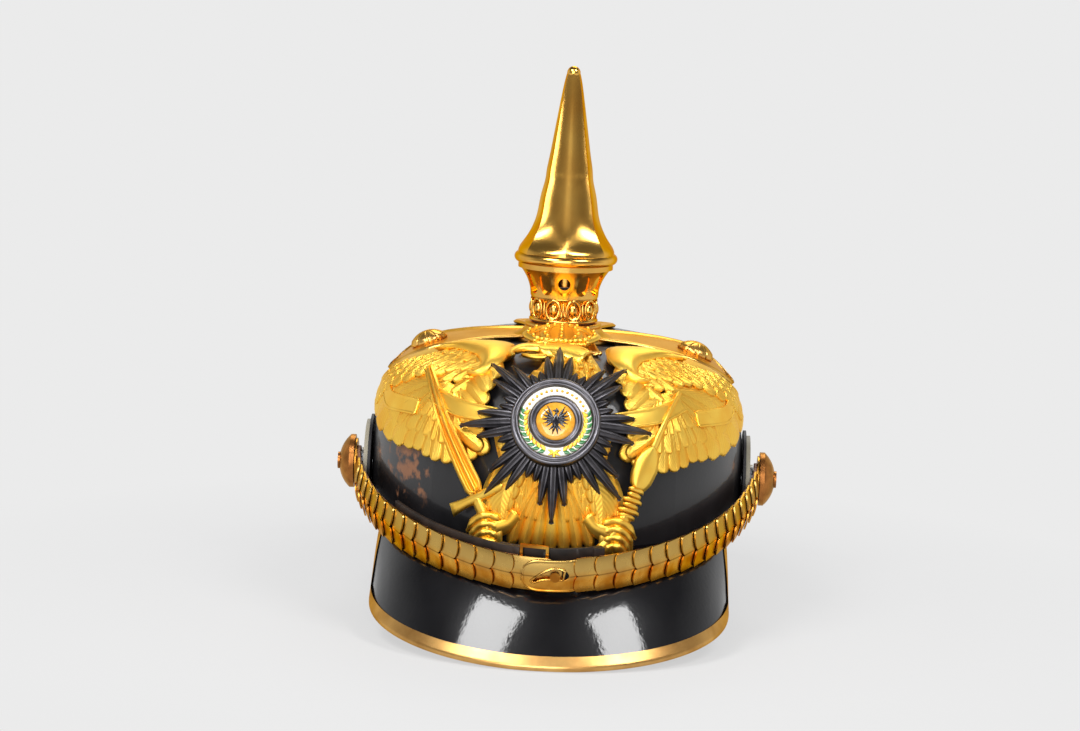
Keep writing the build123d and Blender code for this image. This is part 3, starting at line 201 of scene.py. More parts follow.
@dataclass(frozen=True)
class Metal(Finish):
    """Sheet or cast metal with a tarnish that lies in clouds, and fine scratches that spread its shine."""

    clean: str
    dull: str
    roughness: float = 0.25
    spread: float = 0.12
    cloud: float = 18.0
    grit: float = 0.5
    grit_depth: float = 0.012
    dull_share: float = 0.5
    edge: str = "#fff0c8"

    def pattern(self, skin: Skin, colour: Socket) -> tuple[Socket, Socket]:
        """Adds what lies over the tarnish.

        Args:
            skin: The material's nodes.
            colour: The metal's colour so far.

        Returns:
            The colour and the normal.
        """
        return colour, skin.bump(skin.noise(skin.place, self.grit, 2), self.grit_depth)

    def dress(self, skin: Skin) -> None:
        """Sets a metal's colour, shine and relief."""
        clouds = skin.noise(skin.place, self.cloud, 5)
        colour = skin.ramp(clouds, (0.3, self.clean), (0.3 + self.dull_share, self.dull))
        colour, normal = self.pattern(skin, colour)
        skin.put("Base Color", colour)
        skin.put("Roughness", skin.scale(clouds, self.spread, self.roughness - self.spread / 2))
        skin.put("Metallic", 1.0)
        skin.put("Specular Tint", linear(self.edge))
        skin.put("Normal", normal)


@dataclass(frozen=True)
class StruckFeather(Metal):
    """Metal struck with feathers, along the piece's own UV map: barbs slant away from a raised quill, with painted
    shade in the grooves between them.
    """

    # Colour of the painted shade multiplied into the grooves between the barbs.
    groove: str = "#c88a30"
    barbs: float = 15.0
    slant: float = 9.0
    quill: float = 14.0
    depth: float = 0.12

    def pattern(self, skin: Skin, colour: Socket) -> tuple[Socket, Socket]:
        """Adds the quill and the barbs, with painted shade darkening the grooves between the barbs."""
        along, across, _ = skin.add("SeparateXYZ", Vector=skin.add("TexCoord").outputs["UV"]).outputs
        off = skin.calc("ABSOLUTE", skin.calc("SUBTRACT", across, 0.5))
        quill = skin.calc("MAXIMUM", skin.scale(off, -self.quill, 1.0), 0.0)
        barb = skin.calc("PINGPONG", skin.scale(along, self.barbs, skin.scale(off, -self.slant)), 0.5)
        height = skin.scale(barb, 1.3, skin.scale(quill, 1.4))
        # The groove colour is painted shade, strongest where the barbs dip.
        return skin.mix(skin.scale(barb, -0.3, 0.15), colour, self.groove, "MULTIPLY"), skin.bump(height, self.depth)


@dataclass(frozen=True)
class BandBrass(Metal):
    """Brass of the chin band: orange, with a paler olive tone painted on the upper lobes as reflected light, and
    painted shade along the crease between the lobes.
    """

    # Paler olive tone painted on the upper lobes, standing for the light that they reflect.
    upper: str = "#c2a25c"
    # Colour of the painted shade along the crease between the upper and lower lobes.
    crease: str = "#5e3c18"
    lobe: float = 8.0

    def pattern(self, skin: Skin, colour: Socket) -> tuple[Socket, Socket]:
        """Adds a paler tone painted on the upper lobes as reflected light, and painted shade along the crease, by the
        height over the band's middle.
        """
        colour, normal = super().pattern(skin, colour)
        _, along, up = skin.add("SeparateXYZ", Vector=skin.place).outputs
        middle = skin.scale(along, math.tan(BAND_SLOPE), BAND_PIVOT * MM)
        off = skin.scale(skin.calc("SUBTRACT", up, middle), 1 / (self.lobe * MM))
        # Painted reflection: the upper lobes are made paler.
        colour = skin.mix(skin.clamp(skin.scale(off, 1.4, 0.4), 0.85), colour, self.upper)
        # Painted shade: a dark line along the crease at the band's middle.
        line = skin.calc("MAXIMUM", skin.scale(skin.calc("ABSOLUTE", off), -11.2, 0.7), 0.0)
        return skin.mix(line, colour, self.crease), normal


@dataclass(frozen=True)
class Leather(Finish):
    """Vegetable-tanned leather with a pore grain, lacquered where its coat is above 0."""

    colour: str
    worn: str
    roughness: float = 0.5
    coat: float = 0.0
    pore: float = 0.8
    pore_depth: float = 0.05
    cloud: float = 25.0
    specular: float = 0.3
    brush: float = 0.0
    rubbed: tuple[float, float, float] | None = None
    rubbed_size: float = 26.0

    def scuffs(self, skin: Skin) -> Socket:
        """Returns where the varnish is rubbed through: ragged islands about a place, fewer away from it."""
        size = self.rubbed_size * MM
        centre = tuple(-value * MM / size for value in self.rubbed)
        near = skin.add("Mapping", {"Location": centre, "Scale": (1 / size,) * 3}, Vector=skin.place).outputs[0]
        ball = skin.add("TexGradient", {"gradient_type": "SPHERICAL"}, Vector=near).outputs["Fac"]
        islands = skin.scale(ball, 0.35, skin.noise(skin.place, 7.0, 8))
        islands = skin.clamp(skin.scale(islands, 9.0, -5.94))
        return skin.calc("MULTIPLY", islands, skin.calc("MINIMUM", skin.scale(ball, 4.0), 1.0))

    def dress(self, skin: Skin) -> None:
        """Sets a leather's colour, grain, lacquer and rubbed patch."""
        clouds = skin.noise(skin.place, self.cloud, 6)
        colour = skin.ramp(clouds, (0.35, self.colour), (0.75, self.worn))
        shine = skin.scale(clouds, 0.2, self.roughness - 0.1)
        if self.rubbed is not None:
            patch = self.scuffs(skin)
            colour = skin.mix(patch, colour, "#7a5136")
            shine = skin.scale(patch, 0.3, shine)
        pores = skin.add("TexVoronoi", {"feature": "DISTANCE_TO_EDGE", "Scale": 1 / (self.pore * MM)},
                         Vector=skin.place).outputs["Distance"]
        normal = skin.bump(pores, self.pore_depth)
        if self.brush:
            drawn = skin.add("Mapping", {"Scale": (1.0, 1.0, 0.06)}, Vector=skin.place).outputs[0]
            normal = skin.bump(skin.noise(drawn, 1.6, 4), self.brush, Normal=normal)
            skin.put("Coat Normal", normal)
        skin.put("Base Color", colour)
        skin.put("Roughness", shine)
        skin.put("Coat Weight", self.coat)
        skin.put("Coat Roughness", 0.06)
        skin.put("Specular IOR Level", self.specular)
        skin.put("Normal", normal)


@dataclass(frozen=True)
class Enamel(Finish):
    """Fired glass enamel: an even colour under a clear glossy skin with faint waves."""

    colour: str
    shade: str

    def dress(self, skin: Skin) -> None:
        """Sets an enamel's colour and gloss."""
        waves = skin.noise(skin.place, 3.0, 2)
        skin.put("Base Color", skin.ramp(waves, (0.3, self.colour), (0.8, self.shade)))
        skin.put("Roughness", 0.12)
        skin.put("Coat Weight", 0.6)
        skin.put("Normal", skin.bump(waves, 0.05))


@dataclass(frozen=True)
class Cloth(Finish):
    """Woven cloth, its thread crossing every pitch, with a sheen over it."""

    colour: str
    shade: str
    pitch: float = 0.45

    def dress(self, skin: Skin) -> None:
        """Sets a cloth's colour, weave and sheen."""
        wave = {"Scale": 1 / (self.pitch * MM) / 6.28, "Distortion": 0.6}
        turned = skin.add("Mapping", {"Rotation": (math.pi / 2, 0.4, math.pi / 2)}, Vector=skin.place).outputs[0]
        threads = skin.calc("MAXIMUM", *(skin.add("TexWave", wave, Vector=way).outputs["Fac"]
                                         for way in (skin.place, turned)))
        mixed = skin.scale(skin.noise(skin.place, 22.0, 4), 0.7, skin.scale(threads, 0.3))
        skin.put("Base Color", skin.ramp(mixed, (0.3, self.shade), (0.75, self.colour)))
        skin.put("Roughness", 0.6)
        skin.put("Sheen Weight", 0.3)
        skin.put("Normal", skin.bump(threads, 0.08))


# Fire-gilt brass, matt from the gilding bath: a warm yellow that spreads its highlights.
MATT_GILT = Metal("MattGiltBrass", "gilt_brass", "#ffd760", "#f3b43a", 0.42, 0.14, grit=0.6, grit_depth=0.02)
# The same gilding over struck feathers.
FEATHER_GILT = StruckFeather("FeatherGiltBrass", "gilt_brass", "#ffd760", "#f3b43a", 0.4)
# Burnished gilt brass: a mirror with soft wear and brown tarnish in clouds.
BURNISHED_GILT = Metal("BurnishedGiltBrass", "gilt_brass", "#f4c262", "#cf8f3a", 0.2, cloud=20, edge="#e8b868")
# The cross base's sheet, polished by hand and a little browned.
POLISHED_SHEET = Metal("PolishedSheetBrass", "gilt_brass", "#efc06a", "#c98d42", 0.3, cloud=28, edge="#f0cd8c")
# Chin scale brass with orange tarnish in clouds, a paler olive tone painted on the upper lobes as reflected light, and
# painted shade along the crease between the lobes.
SCALE_BRASS = BandBrass("ScaleBrass", "gilt_brass", "#e0a848", "#b9741f", 0.28, 0.18, 8, dull_share=0.35,
                        edge="#f0cd8c")
# The same brass on the small plain pieces of the band.
HANDLED_BRASS = Metal("HandledBrass", "gilt_brass", "#d2a044", "#9a5f1e", 0.3, 0.2, 9, dull_share=0.35)
# Rosettes whose gilding is worn through to a coppery brass.
COPPERY_BRASS = Metal("CopperyBrass", "copper_brass", "#b9793f", "#6d4322", 0.34, 0.2, 5)
# Trim rolled from thin brass, cleaner than the scales.
TRIM_BRASS = Metal("TrimBrass", "gilt_brass", "#dcae68", "#a97a42", 0.34, cloud=12, edge="#ecca94")
# Silver left to blacken: nearly matt sulphide with paler edges.
TARNISHED_SILVER = Metal("TarnishedSilver", "tarnished_silver", "#5c5a5e", "#2b2a2e", 0.44, 0.2, 8, grit=0.4)
# Silver bezels whose high edges stay bright from wiping.
BEZEL_SILVER = Metal("BezelSilver", "tarnished_silver", "#77757a", "#3c3b40", 0.3, 0.15, 9)
# Blued steel of nuts and bushings.
STEEL = Metal("BluedSteel", "steel", "#8d8f92", "#5c5d60", 0.35, 0.1)
# Japanned leather: a black varnish baked over the hide, glossy with a fine craze.
LACQUER = Leather("LacqueredLeather", "lacquered_leather", "#0c0c0e", "#1c1b1d", 0.4, 0.3, 2.2, 0.03,
                  rubbed=(-66.0, -66.0, 76.0))
# The visors' varnish is smoother and deeper than the skull's, and keeps the brush's strokes.
VISOR_LACQUER = Leather("VisorLacquer", "lacquered_leather", "#060609", "#0b0b0e", 0.34, 0.85, 3.0, 0.012,
                        specular=0.12, brush=0.035)
GREEN_LINING = Leather("GreenLining", "green_lining", "#3d5240", "#2c3b2e", 0.6)
RED_LINING = Leather("RedLining", "red_lining", "#7a2b22", "#58201a", 0.6)
BROWN_LEATHER = Leather("BrownLeather", "brown_leather", "#6b4428", "#4b2f1c", 0.55, pore=0.9, pore_depth=0.08)
BAND_LEATHER = Leather("BandLeather", "strap_leather", "#8a5530", "#4a3323", 0.55, pore=0.7, cloud=10)
STRAP_LEATHER = Leather("StrapLeather", "strap_leather", "#16100d", "#33261e", pore=0.7, cloud=9)
COCKADE_BLACK = Leather("CockadeBlack", "cockade_black", "#141416", "#242226")
COCKADE_WHITE = Leather("CockadeWhite", "cockade_white", "#98917f", "#6f6a5c")
TAN_SILK = Cloth("TanSilk", "tan_silk", "#c8a878", "#9c8058")
WHITE_ENAMEL = Enamel("WhiteEnamel", "white_enamel", "#f3efe6", "#e2dccd")
AMBER_ENAMEL = Enamel("AmberEnamel", "amber_enamel", "#e6a83a", "#c98320")
BLACK_ENAMEL = Enamel("BlackEnamel", "", "#17161a", "#232126")
GREEN_ENAMEL = Enamel("GreenEnamel", "", "#2f6b3a", "#3f8046")


@dataclass(frozen=True)
class SkullForm:
    """The skull's form: an oval plan of four arcs, and a profile of three arcs drawn inwards from the wall.

    Attributes:
        arcs: The profile's arcs, each as its radius and the slopes in degrees where it starts and ends.
    """

    half_width: float = 88.5
    half_length: float = 110.0
    end_radius: float = 75.0
    crown_height: float = 127.5
    arcs: tuple[tuple[float, float, float], ...] = ((131.5, 0.0, 11.5), (35.0, 11.5, 77.9), (153.0, 77.9, 90.0))

    @cached_property
    def end_centre(self) -> float:
        """Distance from the middle to the centre of an end's arc."""
        return self.half_length - self.end_radius

    @cached_property
    def side_radius(self) -> float:
        """Radius of a side's arc, which meets the ends' arcs smoothly."""
        return (self.end_centre ** 2 + self.half_width ** 2 - self.end_radius ** 2) / (
            2 * (self.half_width - self.end_radius))

    @cached_property
    def side_centre(self) -> float:
        """Distance from the middle to the centre of the other side's arc."""
        return self.side_radius - self.half_width

    @cached_property
    def wall_top(self) -> float:
        """Height at which the wall ends and the first arc starts."""
        return self.crown_height - sum(
            radius * (math.sin(math.radians(last)) - math.sin(math.radians(first)))
            for radius, first, last in self.arcs)

    def inset(self, x: float, y: float) -> float:
        """Returns how far inside the plan's outline a point lies."""
        if abs(y) * self.side_centre <= (abs(x) + self.side_centre) * self.end_centre:
            return self.side_radius - math.hypot(abs(x) + self.side_centre, y)
        return self.end_radius - math.hypot(x, abs(y) - self.end_centre)

    def lift(self, point: Vector) -> float:
        """Returns how far outside the form a point lies."""
        inset, height = self.inset(point.x, point.y), point.z
        at_inset, at_height = 0.0, self.wall_top
        if height <= at_height:
            return -inset
        for radius, first, last in self.arcs:
            start, end = math.radians(first), math.radians(last)
            centre = (at_inset + radius * math.cos(start), at_height - radius * math.sin(start))
            turn = math.atan2(height - centre[1], centre[0] - inset)
            if turn <= end and centre[0] > inset or last == 90.0 and inset < centre[0]:
                return math.hypot(height - centre[1], centre[0] - inset) - radius
            at_inset += radius * (math.cos(start) - math.cos(end))
            at_height += radius * (math.sin(end) - math.sin(start))
        return height - self.crown_height


FORM = SkullForm()


@dataclass(frozen=True)
class View:
    """A way of looking squarely at part of the form, in which a relief is drawn."""

    centre: Vector
    right: Vector
    up: Vector
    standoff: float = 150.0

    @cached_property
    def toward(self) -> Vector:
        """The way from the form to the viewer."""
        return self.right.cross(self.up)

    def seat(self, u: float, v: float, lift: float) -> Vector:
        """Finds a point over the form.

        Args:
            u: Place to the right in the view.
            v: Place upwards in the view.
            lift: How far above the form the point lies.

        Returns:
            The point.
        """
        toward = self.toward
        point = self.centre + self.right * u + self.up * v + toward * self.standoff
        for _ in range(60):
            gap = FORM.lift(point) - lift
            if gap < 0.01 or point.z < 30:
                break
            point = point - toward * gap
        return point


@dataclass(frozen=True)
class BandView:
    """The front of the chin band laid flat: along it towards the wearer's left, across it upwards, and out of it."""

    bend: float = 52.0
    reach: float = 131.0
    bow: float = 26.0

    def seat(self, u: float, v: float, lift: float) -> Vector:
        """Finds a point over the band, its lift taken from the leather's inner face, as View.seat does."""
        out = self.bend + lift - v * v / (2 * self.bow)
        x, y = out * math.sin(u / self.bend), self.bend - self.reach - out * math.cos(u / self.bend)
        return Vector((x, y * math.cos(BAND_SLOPE) - v * math.sin(BAND_SLOPE),
                       BAND_PIVOT + y * math.sin(BAND_SLOPE) + v * math.cos(BAND_SLOPE)))


@dataclass(frozen=True)
class CrownRamp:
    """The ramp between the eagle's head and the collar, on which the crown lies, seen in plan."""

    foot: Point = (-46.0, 131.4)
    rise: float = math.tan(math.radians(8.6))

    def seat(self, u: float, v: float, lift: float) -> Vector:
        """Finds a point over the ramp, as View.seat does."""
        return Vector((u, v, self.foot[1] + (v - self.foot[0]) * self.rise + lift))


def oblique(azimuth: float, tilt: float = 25.0) -> View:
    """Returns a view from an azimuth in degrees that leans back by a tilt, centred 90 mm up the axis."""
    turn, lean = math.radians(azimuth), math.radians(tilt)
    right = Vector((math.cos(turn), math.sin(turn), 0))
    up = Vector((-math.sin(turn) * math.sin(lean), math.cos(turn) * math.sin(lean), math.cos(lean)))
    return View(Vector((0, 0, 90)), right, up)


# Inner face of the chin band's leather, as pairs of distance across and distance from its pivot.
SWEPT = ((94.5, 0.0), (93.4, 13.0), (91.2, 26.2), (88.2, 40.0), (84.0, 53.0), (81.4, 60.0), (77.9, 67.5),
         (72.7, 77.5), (66.5, 87.5), (58.8, 97.5), (49.3, 107.5), (36.9, 117.5), (22.0, 126.0), (0.0, 131.0))
FRONT = oblique(0)
CHEEK = oblique(-40)
PLAN = View(Vector((0, 0, 90)), Vector((1, 0, 0)), Vector((0, 1, 0)))


def smooth_path(points: Sequence[Point], share: float) -> tuple[Vector, Vector]:
    """Runs a smooth curve through points.

    Args:
        points: The points, in order.
        share: How far along, from 0 to 1.

    Returns:
        The place and the unit direction there.
    """
    last = len(points) - 1
    step = min(int(share * last), last - 1)
    part = share * last - step
    a, b, c, d = [Vector(points[max(0, min(last, at))]) for at in (step - 1, step, step + 1, step + 2)]
    first, second, third = c - a, 2 * a - 5 * b + 4 * c - d, 3 * b - a - 3 * c + d
    place = b + (first * part + second * part ** 2 + third * part ** 3) / 2
    way = (first + second * 2 * part + third * 3 * part ** 2) / 2
    return place, way.normalized() if way.length > 1e-6 else (c - b).normalized()


def level(values: Sequence[float], share: float) -> float:
    """Reads a row of evenly spaced values at a share from 0 to 1."""
    last = len(values) - 1
    if not last:
        return values[0]
    step = min(int(share * last), last - 1)
    return values[step] + (values[step + 1] - values[step]) * (share * last - step)


def ridge(side: float, middle: float, reach: float) -> float:
    """Returns 1 on the lines at a middle on both sides of a strip, falling to 0 at a reach from them."""
    return max(0.0, 1 - abs(abs(side) - middle) / reach)


@dataclass
class Relief:
    """A mesh of raised strips drawn in one view and laid over the form: feathers, limbs, ribbons or rays."""

    view: View | BandView | CrownRamp
    mirrored: bool = False
    mesh: Mesh = field(default_factory=bmesh.new)

    def strip(self, path: Sequence[Point], halves: Sequence[float], lifts: Sequence[float], camber: float = 1.0,
              round_tip: float = 0.2, section: Callable[[float], float] | None = None,
              grid: tuple[int, int] = (8, 6), hole: Callable[[float, float], bool] | None = None) -> None:
        """Lays a strip.

        Args:
            path: Points of its middle line in the view.
            halves: Half widths at even steps along it.
            lifts: Heights of its edges above the form at even steps.
            camber: How much its middle stands above its edges.
            round_tip: Share of the length over which the tip rounds off.
            section: Height added by how far across a point lies, from -1 to 1.
            grid: Steps along it, closer together towards a round tip, and across it.
            hole: Tells whether a place in the view is cut away.
        """
        self.mesh.loops.layers.uv.verify()
        made = bmesh.ops.create_grid(self.mesh, x_segments=grid[0], y_segments=grid[1], size=1.0,
                                     calc_uvs=True)["verts"]
        cut: list[bmesh.types.BMVert] = []
        for vertex in made:
            share, side = (vertex.co.x + 1) / 2, vertex.co.y
            if round_tip:
                share = 1 - (1 - share) ** 1.7
            place, way = smooth_path(path, share)
            half = level(halves, share)
            if round_tip and share > 1 - round_tip:
                half *= math.sqrt(max(0.004, 1 - ((share - 1 + round_tip) / round_tip) ** 2))
            place = place + Vector((-way.y, way.x)) * half * side
            lift = level(lifts, share) + camber * (1 - side ** 2)
            if section is not None:
                lift += section(side) * min(1.0, half / 0.9)
            if hole is not None and hole(place.x, place.y):
                cut.append(vertex)
            vertex.co = self.view.seat(place.x, place.y, lift)
            if self.mirrored:
                vertex.co.x = -vertex.co.x
        if self.mirrored:
            bmesh.ops.reverse_faces(self.mesh, faces=list({face for vertex in made for face in vertex.link_faces}))
        bmesh.ops.delete(self.mesh, geom=cut, context="VERTS")

    def ball(self, at: Vector, radius: float, fineness: int = 2) -> None:
        """Adds a small ball.

        Args:
            at: Its middle.
            radius: Its radius.
            fineness: How often its faces are divided.
        """
        made = bmesh.ops.create_icosphere(self.mesh, subdivisions=fineness, radius=radius)
        bmesh.ops.translate(self.mesh, vec=at, verts=made["verts"])


def new_piece(name: str, mesh: Mesh, finish: Finish, wall: float = 0.0, replaces: Sequence[str] = (),
              body: str = "root", mend: bool = False, faceted: bool = False) -> bpy.types.Object:
    """Turns a mesh in millimetres into a piece of the object.

    Args:
        name: The piece's name.
        mesh: Its mesh, which is freed.
        finish: Its finish.
        wall: Thickness given to an open sheet, inwards.
        replaces: CAD nodes that it stands for.
        body: The body that it rides on.
        mend: Whether doubles are merged and the faces turned outwards first.
        faceted: Whether its faces meet at crisp ridges.

    Returns:
        The piece's object.
    """
    if mend:
        bmesh.ops.remove_doubles(mesh, verts=mesh.verts, dist=0.001)
        bmesh.ops.recalc_face_normals(mesh, faces=mesh.faces)
    bmesh.ops.scale(mesh, vec=(MM, MM, MM), verts=mesh.verts)
    for face in mesh.faces:
        face.smooth = not faceted
    data = bpy.data.meshes.new(name)
    mesh.to_mesh(data)
    mesh.free()
    piece = bpy.data.objects.new(name, data)
    bpy.context.scene.collection.objects.link(piece)
    data.materials.append(finish.material())
    if wall:
        solid = piece.modifiers.new("Wall", "SOLIDIFY")
        solid.thickness, solid.offset = wall * MM, -1.0
    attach(piece, body)
    if replaces:
        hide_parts(*replaces)
    LOG.info("%s: %d faces on %s", name, len(data.polygons), body)
    return piece


def lathe(mesh: Mesh, outline: Sequence[Point], base: float = 0.0, segments: int = 72) -> list[bmesh.types.BMVert]:
    """Turns a closed outline about the Z axis.

    Args:
        mesh: The mesh that gets the ring.
        outline: Points of (radius, height over the base), in order round the outline.
        base: Height of the base.
        segments: Steps round the axis.

    Returns:
        The ring's vertices.
    """
    turns = [math.tau * step / segments for step in range(segments)]
    rings = [[mesh.verts.new((radius * math.cos(turn), radius * math.sin(turn), base + height))
              for radius, height in outline] for turn in turns]
    for ring, after in zip(rings, rings[1:] + rings[:1]):
        for corners in zip(ring, ring[1:] + ring[:1], after[1:] + after[:1], after):
            mesh.faces.new(corners)
    return [vertex for ring in rings for vertex in ring]


@dataclass
class Studio:
    """The camera at the photograph's viewpoint, a pale floor, and soft boxes in front and behind."""

    place: tuple[float, float, float] = (-10.2, -1600.0, 349.4)
    pitch: float = 8.36
    roll: float = 2.41
    turn: float = 1.10
    lens: float = 112.55
    aimed_at: tuple[float, float, float] = (0.0, 0.0, 0.09)
    boxes: tuple[tuple[str, tuple[float, float, float], float, float], ...] = (
        ("KeyBox", (-0.62, -0.75, 1.3), 0.55, 16.0), ("FillBox", (0.72, -0.7, 1.25), 0.5, 13.0),
        ("FrontBox", (-0.3, -2.2, 0.75), 1.5, 34.0), ("RimBox", (0.1, 1.1, 1.3), 0.8, 9.0))

    def aim(self) -> None:
        """Makes the camera."""
        data = bpy.data.cameras.new("Camera")
        data.lens, data.sensor_width, data.clip_end = self.lens, 36.0, 20.0
        camera = bpy.data.objects.new("Camera", data)
        bpy.context.scene.collection.objects.link(camera)
        stand = Matrix.Rotation(math.radians(self.turn), 4, "Z") @ Matrix.Translation(Vector(self.place) * MM)
        tip = Matrix.Rotation(math.radians(90 - self.pitch), 4, "X")
        camera.matrix_world = stand @ tip @ Matrix.Rotation(math.radians(self.roll), 4, "Z")
        bpy.context.scene.camera = camera

    def light(self) -> None:
        """Makes the soft boxes, by name, place in metres, size in metres and power in watts."""
        for name, place, size, power in self.boxes:
            lamp = bpy.data.lights.new(name, "AREA")
            lamp.shape, lamp.size, lamp.energy = "SQUARE", size, power
            holder = bpy.data.objects.new(name, lamp)
            bpy.context.scene.collection.objects.link(holder)
            aim = (Vector(self.aimed_at) - Vector(place)).to_track_quat("-Z", "Y").to_matrix().to_4x4()
            holder.matrix_world = Matrix.Translation(place) @ aim

    def surround(self) -> None:
        """Makes a world that is pale behind the object, and dark in front of and above it for what reflects it."""
        world = bpy.data.worlds.new("StudioWorld")
        bpy.context.scene.world = world
        world.use_nodes = True
        world.node_tree.nodes.clear()
        net = Net(world.node_tree)
        path = net.add("LightPath").outputs
        _, back, up = net.add("SeparateXYZ", Vector=net.add("TexCoord").outputs["Generated"]).outputs
        room = net.ramp(net.scale(back, 0.5, 0.5), (0.12, "#77736e"), (0.38, "#a8a5a0"), (0.55, BACKDROP))
        room = net.mix(net.clamp(net.scale(up, 2.4, -0.75), 0.9), room, "#2e2c2b")
        plain = net.add("MixRGB", {"Color1": linear("#a9a9ab")}, Fac=path["Is Glossy Ray"], Color2=room).outputs[0]
        seen = net.calc("MAXIMUM", path["Is Camera Ray"], path["Is Transmission Ray"])
        glow = net.add("Background", Color=net.mix(seen, plain, BACKDROP))
        net.add("OutputWorld", Surface=glow.outputs[0])

    def floor(self) -> None:
        """Lays the pale floor, which melts into the background but keeps the object's shadow."""
        mesh = bmesh.new()
        bmesh.ops.create_grid(mesh, x_segments=2, y_segments=2, size=4.0)
        bmesh.ops.translate(mesh, verts=mesh.verts, vec=(0, 0, -0.0005))
        data = bpy.data.meshes.new("Floor")
        mesh.to_mesh(data)
        mesh.free()
        floor = bpy.data.objects.new("Floor", data)
        bpy.context.scene.collection.objects.link(floor)
        material = bpy.data.materials.new("PaleFloor")
        material.use_nodes = True
        tree = material.node_tree
        skin = Skin(tree, tree.nodes["Principled BSDF"], Net(tree).add("TexCoord").outputs["Object"])
        skin.put("Base Color", linear("#b9b9b9"))
        skin.put("Roughness", 1.0)
        skin.put("Specular IOR Level", 0.0)
        glow = skin.add("Emission", {"Color": linear(BACKDROP)})
        path = skin.add("LightPath").outputs
        seen = skin.calc("MAXIMUM", path["Is Camera Ray"], path["Is Glossy Ray"])
        out = skin.add("VectorMath", {"operation": "LENGTH"}, n0=skin.place).outputs["Value"]
        far = skin.calc("MINIMUM", skin.calc("MAXIMUM", skin.scale(out, 2.2, 0.25), 0.7), 1.0)
        mixed = skin.add("MixShader", n0=skin.calc("MULTIPLY", seen, far), n1=skin.shader.outputs[0],
                         n2=glow.outputs[0])
        tree.links.new(mixed.outputs[0], tree.nodes["Material Output"].inputs["Surface"])
        data.materials.append(material)


class Side(Enum):
    """A side of the object, as the sign of X."""

    LEFT = 1
    RIGHT = -1

    @property
    def word(self) -> str:
        """How names of pieces start on this side."""
        return self.name.lower()


